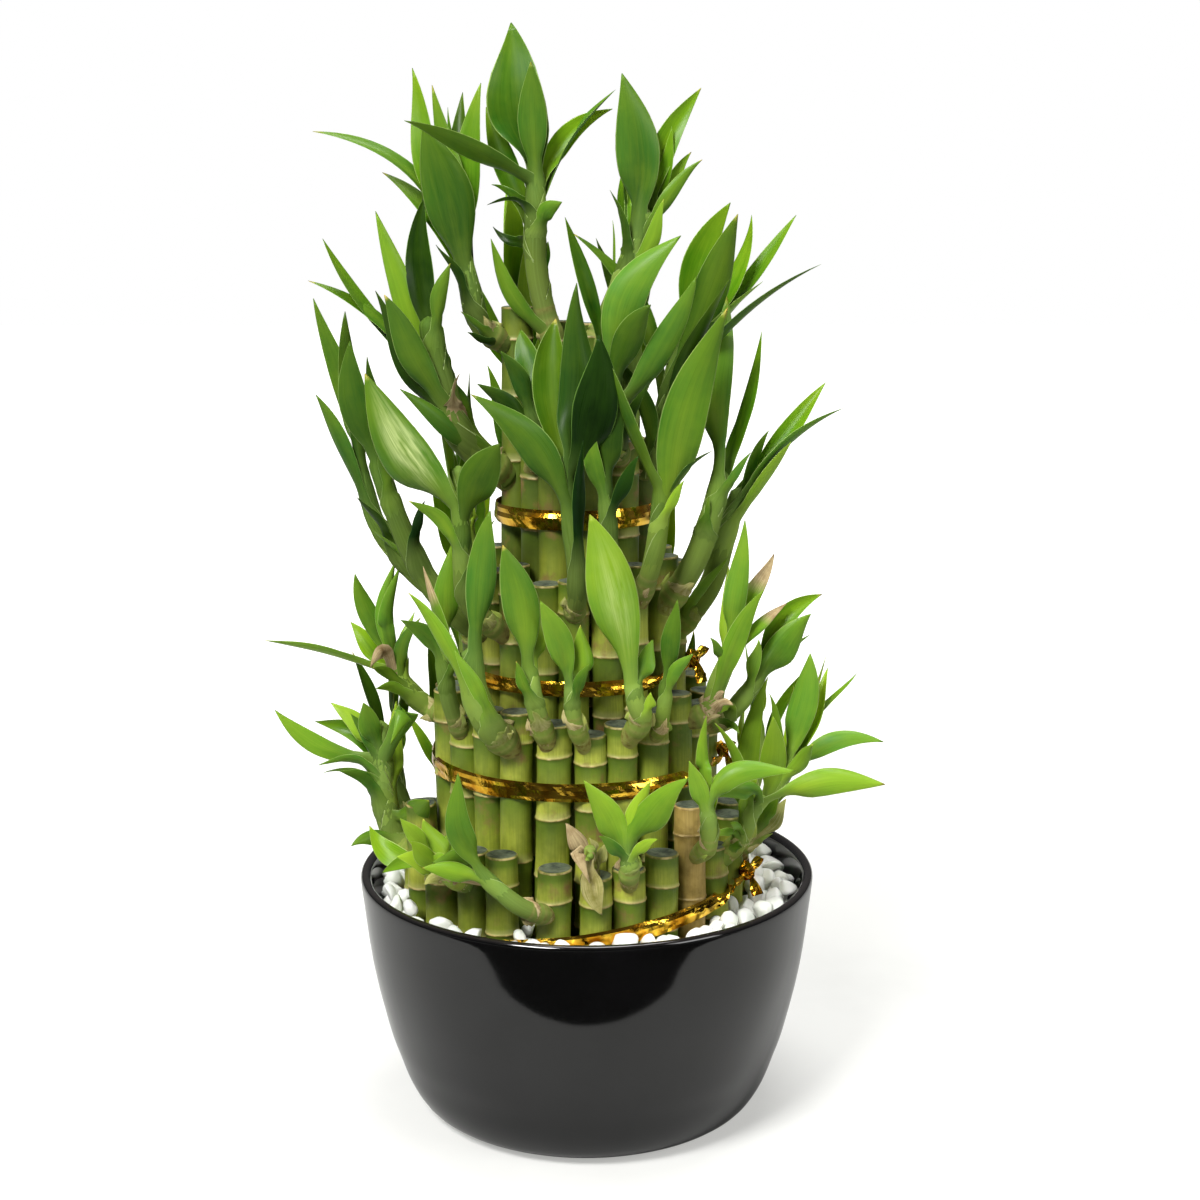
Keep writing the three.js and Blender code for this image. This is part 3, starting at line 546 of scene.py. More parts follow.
    ("lower8", 145, 0.6, 5, [(25, -48, 154), (26, -50, 163), (26, -50, 170)], [
        (1, 30, -50, 197, 6.5), (0.8, 35, -56, 180, 4.5)]),
    ("outer7", 98, 0.85, 6, [(14, -66, 108), (14, -67, 112), (13, -67, 116)], [
        (1, -1, -70, 141, 10), (0.94, 33, -74, 143, 11), (0.88, 21, -64, 139, 7),
        (0.8, 4, -76, 124, 4.5), (0.74, 23, -76, 123, 4)]),
    ("lower1", 148, 0.66, 7, [(-56, -10, 150), (-64, -12, 158), (-70, -12, 168)], [
        (1, -81, -12, 199, 7, 0.6, -78, 187), (0.98, -67, -10, 203, 6.5), (0.94, -65, -14, 202, 5.5),
        (0.9, -113, -16, 176, 3, 0.8, -96, 172), (0.88, -84, -4, 180, 7), (0.8, -58, -16, 184, 5),
        (0.74, -61, -6, 184, 4), (0.7, -74, -24, 168, 4), (0.6, -73, -26, 161, 4),
        (0.9, -75, -24, 168, 5.5, 2, -71, 173)]),
    ("outer1", 97, 0.78, 9, [(-68, -14, 103), (-72, -14, 115), (-73, -14, 131), (-73, -14, 146)], [
        (0.85, -78, -22, 155, 8, 0.6), (0.82, -91, -10, 152, 7.5), (0.8, -83, -18, 150, 5),
        (0.77, -110, -16, 151, 7, 0.8, -97, 140), (0.73, -98, -2, 143, 6.5),
        (0.86, -68, -30, 142, 8, 0.72, -63, 152), (0.68, -94, -24, 133, 2.5), (0.65, -93, -20, 129, 2),
        (0.59, -68, -8, 152, 7.5), (0.56, -86, -28, 132, 4.5), (0.42, -55, -30, 122, 9.5, 0.5, -63, 114),
        (0.26, -83, -26, 104, 5.5)]),
    ("lower2", 141, 0.5, 6, [(-46, -34, 155), (-48, -38, 167), (-49, -38, 181)], [
        (1, -45, -34, 214, 8.5), (0.85, -62, -44, 189, 6), (0.7, -39, -46, 179, 4.5)]),
]
# Each shoot on the far side: its cane, how tall it is, its number of leaves and how far it swings aside
BACK_SHOOTS = [
    ("heart3", 30, 4, -35), ("upper8", 52, 5, -12), ("upper10", 44, 5, 0), ("middle14", 30, 5, 10),
    ("middle10", 44, 6, 0), ("middle12", 52, 5, 0), ("lower16", 34, 5, 25), ("lower18", 36, 5, 0),
    ("lower21", 42, 5, 0), ("outer14", 24, 5, 0), ("outer17", 24, 5, 0), ("outer20", 24, 5, 0),
    ("outer23", 26, 5, 0), ("outer25", 24, 5, -30), ("outer27", 26, 5, 0),
]
BACK_GREEN = 0.68
BACK_THICKNESS = 7
BACK_LEAVES = (30, 52)
TALL_SHOOT = 30
LEAF_TURN = math.radians(137.5)
# How far out of its cane's axis a shoot on the far side stands, at its start, halfway up and at its end
BACK_STEM = [(11, 0), (14, 0.5), (15, 1)]


def between(low, high, share):
    return low + (high - low) * share


def eased(share):
    share = min(max(share, 0), 1)
    return share * share * (3 - 2 * share)


def unit(vector):
    return vector / np.linalg.norm(vector)


def rolled(across, out, turn):
    """Two directions turned together, each towards the other's side."""
    return across * math.cos(turn) + out * math.sin(turn), out * math.cos(turn) - across * math.sin(turn)


def back_shoot(name, rise, count, swing):
    """A shoot on the far side, by rule: its leaves stand round it, a wide turn from each to the next."""
    cane = canes[name]
    out = cane.angle + math.radians(swing)
    start = cane.joint + TOP_JOINT

    def away(distance, height):
        return cane.x + distance * math.sin(out), cane.y - distance * math.cos(out), height

    leaves = []
    for k in range(count):
        up = k / (count - 1)
        turn = LEAF_TURN * (k + rise)
        length = between(*BACK_LEAVES, math.sin(2.2 * up)) * (1 if rise > TALL_SHOOT else 0.75)
        lean = math.radians(between(52, 12, up) * between(0.2, 1, 0.5 + 0.5 * math.cos(turn)))
        place = between(0.45, 1, up)
        x, y, z = away(between(11, 15, place), start + place * rise)
        x += length * math.sin(lean) * math.sin(out + turn)
        y -= length * math.sin(lean) * math.cos(out + turn)
        leaves.append((place, x, y, z + length * math.cos(lean), length / 5))
    stem = [away(distance, start + share * rise) for distance, share in BACK_STEM]
    greenness = BACK_GREEN + 0.2 * math.sin(rise + 2 * cane.number)
    return name, cane.joint, greenness, BACK_THICKNESS, stem, leaves


class Stem:
    """The middle line of a shoot, from the axis of its cane through the points that it passes."""

    def __init__(self, cane, height, thickness, points):
        self.points = np.array([(cane.x, cane.y, height), *points], float)
        self.thickness = thickness
        steps = [self.at(t) for t in np.linspace(0, 1, 25)]
        self.length = sum(np.linalg.norm(b - a) for a, b in zip(steps, steps[1:]))

    def at(self, place):
        points, spans = self.points, len(self.points) - 1
        span = min(int(max(place, 0) * spans), spans - 1)
        t = place * spans - span
        start, end = points[span], points[span + 1]
        before = points[span - 1] if span else 2 * start - end
        after = points[span + 2] if span + 2 <= spans else 2 * end - start
        near, here, far = (math.sqrt(np.linalg.norm(b - a)) for a, b in (
            (before, start), (start, end), (end, after)))
        leave = here * ((start - before) / near - (end - before) / (near + here) + (end - start) / here)
        arrive = here * ((end - start) / here - (after - start) / (here + far) + (after - end) / far)
        return (start + leave * t + (3 * (end - start) - 2 * leave - arrive) * t ** 2
                + (2 * (start - end) + leave + arrive) * t ** 3)

    def run(self, place):
        return unit(self.at(min(place + 0.01, 1)) - self.at(max(place - 0.01, 0)))

    def radius(self, place):
        return self.thickness / 2 * between(1, 0.72, eased((place - 0.5) / 0.5))


STEM_SIDES = 16
FOOT = 18
KNUCKLE = 7.5
KNUCKLE_SWELL = 0.2
FOOT_RINGS = (8.2, 10.4, 13)
RING_SWELL = 0.03
FOOT_STEP = 0.6
STEM_STEP = 2.2


def grow_stem(growth, stem, tone, seed):
    """A tube with a swollen, ringed foot where it breaks out of the cane, and a closed round end."""
    turn = 2 * np.pi * np.arange(STEM_SIDES) / STEM_SIDES
    upper_steps = max(3, int(stem.length / STEM_STEP))
    steps = np.array([*np.arange(0, FOOT, FOOT_STEP), *np.linspace(FOOT, stem.length, upper_steps)])
    steps = steps[steps <= stem.length]
    rows, scars = [], []
    for gone in steps:
        place = gone / stem.length
        run = stem.run(place)
        side = unit(np.cross(run, (0.02, 1, 0.3)))
        front = np.cross(side, run)
        ring = sum(math.exp(-((gone - at) / 0.45) ** 2) for at in FOOT_RINGS)
        swell = KNUCKLE_SWELL * math.exp(-((gone - KNUCKLE) / 2.6) ** 2) + RING_SWELL * ring
        radius = stem.radius(place) * (1 + swell) * (1 - 0.6 * max(0, place - 0.97) / 0.03)
        rows.append(stem.at(place) + radius * (np.outer(np.cos(turn), side) + np.outer(np.sin(turn), front)))
        scars.append(max(0.8 * ring, eased((KNUCKLE - gone) / 2)))
    points = np.vstack([*rows, stem.at(1) + 0.5 * stem.run(1)])
    last = (len(rows) - 1) * STEM_SIDES
    faces = woven(len(rows), STEM_SIDES, closed=True)
    faces += [(last + k, last + (k + 1) % STEM_SIDES, len(points) - 1) for k in range(STEM_SIDES)]
    from_back = np.abs((turn + np.pi / 2) % (2 * np.pi) / np.pi - 1)
    growth.add(
        points, faces, across=np.append(np.tile(0.8 - 1.6 * from_back, len(rows)), 0), along=0.1, tone=tone,
        sheath=1, seed=seed, scar=np.append(np.repeat(scars, STEM_SIDES), 0),
        rise=np.append(np.repeat(steps / stem.length, STEM_SIDES), 1), breadth=0.7)


# Share of its full width that a blade has along its length
OUTLINE = np.array([
    (0, 0.42), (0.1, 0.52), (0.2, 0.7), (0.32, 0.9), (0.43, 0.99), (0.5, 1), (0.6, 0.93), (0.72, 0.75),
    (0.83, 0.5), (0.92, 0.26), (0.97, 0.12), (1, 0.02)])
LOWEST_PLACE = 0.14
SHORTEST = 2.35
SLIMMEST = 0.16
SHEATH = 24
LONG = 16
LONG_ROWS = (8, 22)
SHORT_ROWS = (4, 12)
SPREAD = np.sin(np.linspace(-1, 1, 11) * math.pi / 2)
THICK = 0.5
OFF_STEM = 0.45
FOLD = 0.62
CURL = 0.5
WAVE = 0.2
SWAY = 0.055
SWAY_WITH_MIDDLE = 0.02
EYE_AWAY = 650
EYE_UP = 315
FRONT = np.array((0, -EYE_AWAY, EYE_UP))


def arc(middle, across, inward, half_width, half_angle):
    """A row of points across a leaf, from edge to edge."""
    bend = half_width / half_angle
    turn = SPREAD * half_angle
    return middle + np.outer(np.sin(turn) * bend, across) + np.outer((1 - np.cos(turn)) * bend, inward)


def sheath_rows(stem, place, facing, length, opened, count):
    """The rows of a leaf's sheath, which is wrapped right round the stem where it begins."""
    wrap = min(SHEATH, 0.5 * stem.length, 0.7 * length) / stem.length
    rows = []
    for share in np.arange(count) / count:
        low = max(place - wrap * (1 - share), 0.04)
        trunk = stem.run(low)
        away = unit(facing - trunk * (facing @ trunk))
        hug = stem.radius(low) + between(-0.4, OFF_STEM, eased(share * 1.2))
        angle = between(2.9, opened, share ** 1.5)
        rows.append(arc(stem.at(low) + hug * away, np.cross(trunk, -away), -away, hug * angle, angle))
    return rows


def blade_bend(leaf, base, tip, run, reach):
    """The point that bends a blade's curve, so that it passes its middle where one is given."""
    if leaf.middle_x is None:
        return base + unit(run + 0.45 * unit(reach)) * 0.43 * np.linalg.norm(reach)
    middle = np.array((leaf.middle_x, (base[1] + tip[1]) / 2, leaf.middle_z))
    near, far = np.linalg.norm(middle - base), np.linalg.norm(tip - middle)
    part = near / (near + far)
    middle[1] = between(base[1], tip[1], part)
    return (middle - (1 - part) ** 2 * base - part ** 2 * tip) / (2 * part * (1 - part))


def leaf_rows(stem, leaf, number, seen_from):
    """Rows of points across a leaf, each from edge to edge, with how far along the blade they lie."""
    place = leaf.place
    tip = np.array((leaf.x, leaf.y, leaf.z), float)
    while place > LOWEST_PLACE and np.linalg.norm(tip - stem.at(place)) < SHORTEST * leaf.width:
        place -= 0.02
    axis, run, radius = stem.at(place), stem.run(place), stem.radius(place)
    reach = tip - axis
    length = np.linalg.norm(reach)
    width = max(leaf.width, min(SLIMMEST * length, 8))
    sight = unit(axis - seen_from)
    nearer = 1 if reach @ sight < 2 else -1
    facing = reach - run * (reach @ run)
    facing = facing / max(np.linalg.norm(facing), 6) - 0.7 * nearer * sight
    facing = unit(facing - run * (facing @ run))
    opened = min(max(0.42 * width, 0.9 * radius), 1.5 * radius) / radius
    wraps, blades = LONG_ROWS if length > LONG else SHORT_ROWS
    rows = sheath_rows(stem, place, facing, length, opened, wraps)

    base = axis + facing * (radius + OFF_STEM)
    bend = blade_bend(leaf, base, tip, run, reach)
    tilt = math.acos(leaf.width / width)
    widest = 0.98 + 0.14 * math.sin(1.9 * number)
    curl = CURL * math.sin(3.1 * number + leaf.x) * leaf.width / width
    fold = FOLD + 0.28 * math.sin(5.3 * number)
    wave = WAVE * leaf.width * math.sin(2.2 * number + 1)
    sway = (SWAY if leaf.middle_x is None else SWAY_WITH_MIDDLE) * length * math.sin(4.7 * number)
    shares = np.linspace(0, 1, blades) ** 1.05
    for s in shares:
        middle = base * (1 - s) ** 2 + 2 * bend * s * (1 - s) + tip * s ** 2
        along = unit(2 * (bend - base) * (1 - s) + 2 * (tip - bend) * s + 1e-6)
        side = unit(np.cross(along, sight))
        upper = side if side[2] > 0 or (side[2] > -0.1 and number % 2) else -side
        broad = nearer * np.cross(side, along) * math.cos(tilt) + upper * math.sin(tilt)
        opening = eased(s / 0.4)
        inward = broad * opening - facing * (1 - opening)
        inward = unit(inward - along * (inward @ along) + 1e-6)
        across, inward = rolled(np.cross(along, inward), inward, curl * s * s)
        middle = middle + (across * sway - inward * 0.5 * sway) * math.sin(math.pi * s) ** 2
        full = width / 2 * fold / math.sin(fold) * np.interp(s ** widest, *OUTLINE.T)
        half = max(full, radius * opened * (1 - 1.6 * s) if s < 0.6 else 0, 0.12)
        ripple = np.sin(7 * s + 2 * number + 1.2 * np.sign(SPREAD)) * SPREAD ** 2
        ripple *= wave * eased(2 * s) * (1 - s)
        row = arc(middle, across, inward, half, between(opened, fold, opening))
        rows.append(row + np.outer(ripple, inward))
    return np.array(rows), np.append(np.arange(wraps) / wraps - 1, shares)


def grow_leaf(growth, stem, leaf, tone, number, seen_from=FRONT):
    """A leaf with an upper face and an under face that meet in its edges."""
    own = tone if leaf.greenness is None else leaf.greenness
    tone = abs(own)
    rows, alongs = leaf_rows(stem, leaf, number, seen_from)
    count, columns = rows.shape[:2]
    upward = np.cross(np.gradient(rows, axis=1), np.gradient(rows, axis=0))
    upward /= np.maximum(np.linalg.norm(upward, axis=2, keepdims=True), 1e-9)
    slimmer = np.minimum(np.clip((1 - alongs) * 3, 0.45, 1), np.clip(0.15 + (alongs + 1) * 1.5, 0.15, 1))
    upper_rows = rows + upward * np.outer(slimmer, THICK * (1 - SPREAD ** 4))[:, :, None]
    inner = np.zeros((count, columns), bool)
    inner[1:-1, 1:-1] = True
    under_index = np.arange(count * columns).reshape(count, columns)
    upper_index = under_index.copy()
    upper_index[inner] = count * columns + np.arange(inner.sum())
    faces = []
    for row in range(count - 1):
        for column in range(columns - 1):
            corners = ((row, column), (row, column + 1), (row + 1, column + 1), (row + 1, column))
            faces.append(tuple(int(under_index[corner]) for corner in reversed(corners)))
            faces.append(tuple(int(upper_index[corner]) for corner in corners))
    across = np.broadcast_to(SPREAD, (count, columns))
    along = np.broadcast_to(alongs[:, None], (count, columns))
    across = np.append(across, across[inner])
    along = np.append(along, along[inner])
    dry = np.clip((along - 0.6) / 0.15, 0, 1) if own < 0 else min(max(tone - 1, 0), 1)
    growth.add(
        np.vstack([rows.reshape(-1, 3), upper_rows[inner]]), faces, across=across, along=along,
        tone=min(tone, 1), dry=dry, sheath=np.clip((0.22 - along) / 0.4, 0, 1),
        under=np.append(np.ones(count * columns), np.zeros(inner.sum())), seed=number * 1.37,
        rise=leaf.place, breadth=min(leaf.width / 11, 1.3), pale=leaf.pale)


SCALES = (7, 9, 12)


def grow_scales(growth, stem, tone, draw):
    """Withered remains of the first small leaves, round the foot of a shoot."""
    for gone in SCALES:
        place = gone / stem.length
        run = stem.run(place)
        side = unit(np.cross(run, draw.normal(size=3)))
        off, up = draw.uniform(0.2, 1.5), draw.uniform(3, 7)
        tip = stem.at(place) + side * (stem.radius(place) + off) + run * up
        scale = Leaf(place, *tip, 2.2, draw.uniform(1.2, 2))
        grow_leaf(growth, stem, scale, tone, int(draw.integers(200, 400)))


leaf_skin, recipe = new_finish("leaf_skin")
MARKS = ("across", "along", "tone", "dry", "sheath", "under", "seed", "scar", "rise", "breadth", "pale")
across, along, tone, dry, sheath, under, seed, scar, rise, breadth, gloss_share = map(recipe.mark, MARKS)
aside = recipe.plus(recipe.times(across, breadth), seed)
vein = recipe.shared(fibres, Across=aside, Along=recipe.times(along, 1.2), Fineness=19)["Line"]
streak = recipe.shared(fibres, Across=aside, Along=recipe.times(along, 2.5), Fineness=3)["Line"]

# The greens from dark to bright, some leaves cooler than others
ramp = recipe.node("ValToRGB", {"Fac": tone})
stops = ramp.color_ramp.elements
stops[0].color = paint("#061c02")
stops[1].color = paint("#84ab14")
for position, colour in ((0.25, "#103604"), (0.5, "#2a5e05"), (0.75, "#54880a")):
    stops.new(position).color = paint(colour)
cool = recipe.spread(recipe.math("SINE", recipe.times(seed, 3.3)), 0.1, 1, 0, 0.55)
green = recipe.mix(cool, ramp.outputs["Color"], recipe.mix(tone, "#08260c", "#3c8a2a"))
deep = recipe.mix(tone, "#041201", "#264c02")
light = recipe.mix(tone, "#1f4a08", "#a9c22c")

# Painted light and shade: a darker heart of painted shade on some blades and a lighter heart of painted
# highlight on others, the blade lighter towards its tip where the light falls and darker at its base where
# shadow falls;
# then streaks and veins
from_middle = recipe.math("ABSOLUTE", across)
heart = recipe.times(recipe.spread(from_middle, 0.9, 0.0), recipe.spread(along, 0.85, 0.3))
habit = recipe.math("SINE", recipe.times(seed, 7))
green = recipe.coated(
    green, (recipe.times(heart, recipe.spread(habit, -1, 0.6, 0.75, 0)), deep),
    (recipe.times(heart, recipe.spread(habit, 0.2, 1, 0, 0.55)), light),
    (recipe.spread(along, 0.5, 1.0, 0, 0.3), light), (recipe.spread(along, 0.5, 0.05, 0, 0.5), deep),
    (recipe.spread(streak, 0.35, 0.75, 0, 0.22), light), (recipe.spread(vein, 0.3, 0.65, 0.27, 0), deep))

# A painted highlight: a pale streak of gloss that a few blades show up their middle
ribs = recipe.times(recipe.spread(streak, 0.35, 0.6), recipe.spread(vein, 0.25, 0.6, 0.35, 1))
beside = recipe.math("ABSOLUTE", recipe.plus(across, 0.15))
window = recipe.times(recipe.spread(along, 0.12, 0.45), recipe.spread(along, 0.95, 0.55))
window = recipe.times(window, recipe.spread(beside, 0.75, 0.2))
pale = recipe.times(gloss_share, recipe.times(window, ribs))

# The painted gloss highlight, the dull under face, pale edges and yellow tips
dull = recipe.times(under, recipe.times(tone, 0.16))
edge = recipe.spread(from_middle, 0.94, 1.0, 0, 0.9)
tip = recipe.times(recipe.spread(along, 0.95, 1.0), recipe.spread(habit, 0.6, 0.95))
green = recipe.coated(
    green, (pale, "#e0e8a8"), (dull, "#7f9a55"), (edge, recipe.mix(tone, "#6f9a44", "#c4d27e")),
    (tip, "#b8a24a"))

# The sheaths and stems, paler where the leaves are bright, olive at the foot
upper = recipe.mix(0.55, green, recipe.mix(recipe.spread(tone, 0.38, 0.8), "#3d6216", "#93ad58"))
lines = recipe.spread(vein, 0.35, 0.7, 0, 0.35)
wrapped = recipe.coated("#707c38", (rise, upper), (lines, "#7c944a"))

# Rough scars, and the brown of what has withered
grain = recipe.noise(recipe.place(), 420, 3)
rough = recipe.mix(recipe.spread(grain, 0.4, 0.65), "#a3945a", "#6b5230")
green = recipe.coated(
    green, (recipe.times(sheath, 0.85), wrapped), (recipe.times(edge, sheath), "#a9b97a"),
    (recipe.times(scar, recipe.spread(grain, 0.3, 0.6, 0.25, 0.75)), rough))
papery = recipe.mix(recipe.spread(vein, 0.3, 0.7), "#c6b488", "#7d6642")
brown = recipe.shared(mottle, Colour=papery, Patch_Colour="#6e5433", Scale=160, From=0.5, To=0.75)["Colour"]
green = recipe.shared(mottle, Colour=green, Patch_Colour=recipe.mix(0.3, green, light), Scale=32)["Colour"]
matt = recipe.times(recipe.math("MAXIMUM", dry, sheath), 0.42)
recipe.finish(
    Base_Color=recipe.mix(dry, green, brown),
    Roughness=recipe.plus(recipe.spread(vein, 0.3, 0.7, 0.26, 0.4), matt), Specular_IOR_Level=0.13)
recipe.bump(vein, 0.12, 0.0003)

growths = {}
number = 0
draw = np.random.default_rng(3)
front_leaves = sum(len(leaves) for *_, leaves in SHOOTS)
for name, height, tone, thickness, points, leaves in [*SHOOTS, *[back_shoot(*row) for row in BACK_SHOOTS]]:
    node = next(node for node, members in cane_nodes.items() if name in members)
    growth = growths.setdefault(node, Gathered(*MARKS))
    stem = Stem(canes[name], height, thickness, points)
    grow_stem(growth, stem, tone, seed=number)
    grow_scales(growth, stem, tone, draw)
    out = unit(np.array((stem.at(1)[0] - BUNDLE_X, stem.at(1)[1], 0)))
    seen_from = FRONT if number < front_leaves else EYE_AWAY * out + (0, 0, EYE_UP)
    for leaf in leaves:
        number += 1
        leaf_tone = min(max(tone + 0.26 * math.sin(2.7 * number), 0), 1)
        grow_leaf(growth, stem, Leaf(*leaf), leaf_tone, number, seen_from)
for node, growth in growths.items():
    growth.done(f"{node}_shoots", leaf_skin, "leaf", node)


# The ties: ribbons of gold metallised film, wrapped round each ring of canes and crushed flat against
# it, then twisted into a rope and knotted at the right, with their ends left loose.
# Each tie: its name, its height, how far it leans, the radius of its ring of canes, where its knot is, the
# ribbon's width, how far round the ring it is a rope, and the size of its knot
TIES = [
    ("upper_tie", 220, 0, 22, 84, 6.8, 16, 0.62), ("middle_tie", 164, 0, 33.8, 80, 5.2, 46, 1.05),
    ("lower_tie", 131, 0, 45.6, 82, 6.4, 42, 0.8), ("outer_tie", 82, 0.13, 57.4, 70, 6, 24, 1.05),
]
STAND_OFF = 0.75
ROPE = 3.5
ROPE_TWIST = 3.2 * math.pi
ROPE_RUN_IN = math.radians(18)
FILM = 0.14
PLEAT = 1.5
CREASES = np.array([-0.5, -0.33, -0.12, 0.1, 0.3, 0.5])
CRUMPLE = 0.38
CRUMPLE_ROWS = (4, 12)
LOOPS = 4
LOOP_POINTS = 14
TAIL_POINTS = 9

foil, recipe = new_finish("gold_foil")
dull = recipe.noise(recipe.place(), 170, 2)
recipe.finish(
    Base_Color=recipe.mix(recipe.spread(dull, 0.4, 0.62), "#ffcf45", "#c58a1c"),
    Roughness=recipe.spread(dull, 0.3, 0.7, 0.07, 0.2), Metallic=1.0)
recipe.bump(recipe.noise(recipe.place(), 800, 2), 0.3, 0.0002)


def crushed(rows, columns, draw):
    """How far each point of a ribbon stands off: bent straight from crease to crease, a few rows apart."""
    lifts = np.zeros((rows, columns))
    for column in range(columns):
        bends = [0]
        while bends[-1] < rows:
            bends.append(bends[-1] + int(draw.integers(*CRUMPLE_ROWS)))
        values = draw.uniform(-CRUMPLE, CRUMPLE, len(bends))
        values[-1] = values[0]
        lifts[:, column] = np.interp(np.arange(rows), bends, values)
    return lifts


def ribbon(middles, widths, turns, outs, draw, closed):
    """A crushed ribbon: points across it at each of its middles, turned about its own run, and its faces."""
    middles, outs = np.array(middles), np.array(outs)
    runs = np.roll(middles, -1, axis=0) - np.roll(middles, 1, axis=0)
    if not closed:
        runs[0], runs[-1] = middles[1] - middles[0], middles[-1] - middles[-2]
    rows, columns = len(middles), len(CREASES)
    lifts = crushed(rows, columns, draw) + 0.55 * np.cos(3 * CREASES) - 0.3
    top, bottom = [], []
    for row in range(rows):
        run = unit(runs[row])
        out = unit(outs[row] - run * (outs[row] @ run))
        across, out = rolled(np.cross(run, out), out, turns[row])
        for crease, lift in zip(CREASES, lifts[row]):
            point = middles[row] + across * crease * widths[row] + out * lift * min(widths[row] / 4, 1)
            top.append(point)
            bottom.append(point - out * FILM)
    faces = []
    under = rows * columns

    def rim(face, first):
        faces.append(face if first else face[::-1])

    for row in range(rows if closed else rows - 1):
        here, beside = row * columns, (row + 1) % rows * columns
        for k in range(columns - 1):
            face = (here + k, here + k + 1, beside + k + 1, beside + k)
            faces.append(face)
            faces.append(tuple(corner + under for corner in face[::-1]))
        for k in (0, columns - 1):
            rim((here + k, beside + k, beside + k + under, here + k + under), first=k == 0)
    if not closed:
        for row in (0, rows - 1):
            for here in range(row * columns, (row + 1) * columns - 1):
                rim((here, here + under, here + 1 + under, here + 1), first=row == 0)
    return np.array([*top, *bottom]), faces


def foil_tie(ring, knot, width, span, size, draw):
    """The ribbons of one tie: its band, the loops of its knot and two loose ends."""
    knot, span = math.radians(knot), math.radians(span)
    radius = ring + CANE_RADIUS + STAND_OFF
    count = int(2 * math.pi * radius / PLEAT)
    middles, widths, turns, outs = [], [], [], []
    for k in range(count):
        angle = 2 * math.pi * k / count
        off = (angle - knot + math.pi) % (2 * math.pi) - math.pi
        reach = span if off < 0 else 0.5 * span
        rope = eased((reach - abs(off)) / ROPE_RUN_IN)
        out = np.array((math.sin(angle), -math.cos(angle), 0))
        middles.append(out * (radius + 0.8 * rope) + (0, 0, 2.5 * rope * size))
        widths.append(between(width, ROPE, rope))
        turns.append(rope * ROPE_TWIST * (reach - abs(off)) / reach)
        outs.append(out)
    ribbons = [ribbon(middles, widths, turns, outs, draw, closed=True)]
    out = np.array((math.sin(knot), -math.cos(knot), 0))
    side = np.array((math.cos(knot), math.sin(knot), 0))
    up = np.array((0, 0, 1))
    heart = out * (radius + 2.2 * size) + up * 3.2 * size
    t = 2 * math.pi * np.arange(LOOP_POINTS)[:, None] / LOOP_POINTS
    widths, turns = [2.6 * size] * LOOP_POINTS, np.linspace(0, 2, LOOP_POINTS)
    for k in range(LOOPS):
        long_way, short_way = rolled(side, up, 1.6 * k)
        flat_loop = 2.1 * np.cos(t) * long_way + 1.1 * np.sin(2 * t) * short_way
        spokes = size * (flat_loop + 1.7 * np.sin(t) * out)
        ribbons.append(ribbon(heart + spokes, widths, turns, spokes, draw, closed=True))
    steps = np.linspace(0, 1, TAIL_POINTS)
    for way, rise, far in ((-1, -7.5, 2.5), (1, 3.5, 3)):
        tail = [
            heart + size * (out * (1 + 2.6 * s) + side * way * (0.8 + far * s) + up * rise * s ** 1.3)
            for s in steps]
        widths = size * (2.2 + 1.8 * steps)
        ribbons.append(ribbon(tail, widths, 2 * steps, [out] * TAIL_POINTS, draw, closed=False))
    return ribbons


for k, (name, height, lean, *sizes) in enumerate(TIES):
    tie = Gathered()
    right, up = rolled(np.array((1, 0, 0)), np.array((0, 0, 1)), lean)
    for points, faces in foil_tie(*sizes, np.random.default_rng(40 + k)):
        tie.add(points @ np.array((right, (0, 1, 0), up)) + (BUNDLE_X, 0, height), faces)
    tie.done(f"{name}_ribbon", foil, "foil", name, smooth=False)


# The pebbles: broken quartz, tumbled until its edges were blunt, washed and poured in round the canes.
# They are pale and a little clear, and hold the bundle upright.
STONE_LAYERS = (68, 73, 78, 81.5)
STONE_SIZES = (3.2, 5.6)
STONE_CUTS = 9
STONE_SHAPES = 14
DARTS = 2600
SCATTER = 82
TO_CANE = 0.8
TO_STONE = 0.76

quartz, recipe = new_finish("quartz")
chalk = recipe.shared(mottle, Colour="#f6f6f1", Patch_Colour="#e0e5dd", Scale=90, From=0.4, To=0.65)
recipe.finish(
    Base_Color=recipe.mix(recipe.mark("tint"), chalk["Colour"], "#e6e9dd"),
    Roughness=recipe.spread(chalk["Patch"], 0, 1, 0.45, 0.3),
    Subsurface_Weight=0.3, Subsurface_Radius=(0.004, 0.0045, 0.004), Subsurface_Scale=1.0)
recipe.bump(recipe.noise(recipe.place(), 450, 3), 0.3, 0.0005)

draw = np.random.default_rng(7)
sphere = bmesh.new()
bmesh.ops.create_icosphere(sphere, subdivisions=3, radius=1)
ball_points = np.array([corner.co for corner in sphere.verts])
ball_faces = [tuple(corner.index for corner in face.verts) for face in sphere.faces]
sphere.free()


def stone_shape():
    """A ball cut back by flats, and a little longer one way than the other."""
    points = ball_points.copy()
    for _ in range(STONE_CUTS):
        flat = unit(draw.normal(size=3))
        over = np.clip(points @ flat - draw.uniform(0.5, 0.8), 0, None)
        points -= 0.92 * np.outer(over, flat)
    return points * (1.15, draw.uniform(0.8, 1), draw.uniform(0.65, 0.85))


def any_turn():
    """A turn to any side, alike in all directions."""
    axes, _ = np.linalg.qr(draw.normal(size=(3, 3)))
    return axes


def fits(x, y, layer, size, placed):
    """Whether a stone finds room between the bowl, the canes and the stones of its layer."""
    low_to_high = BOWL_INSIDE[::-1]
    wall = np.interp(layer, [z for _, z in low_to_high], [r for r, _ in low_to_high])
    return (
        math.hypot(x, y) + TO_CANE * size <= wall
        and all(math.hypot(x - c.x, y - c.y) >= c.radius + TO_CANE * size for c in canes.values())
        and all(math.hypot(x - u, y - v) >= TO_STONE * (size + reach) for u, v, _, reach in placed))


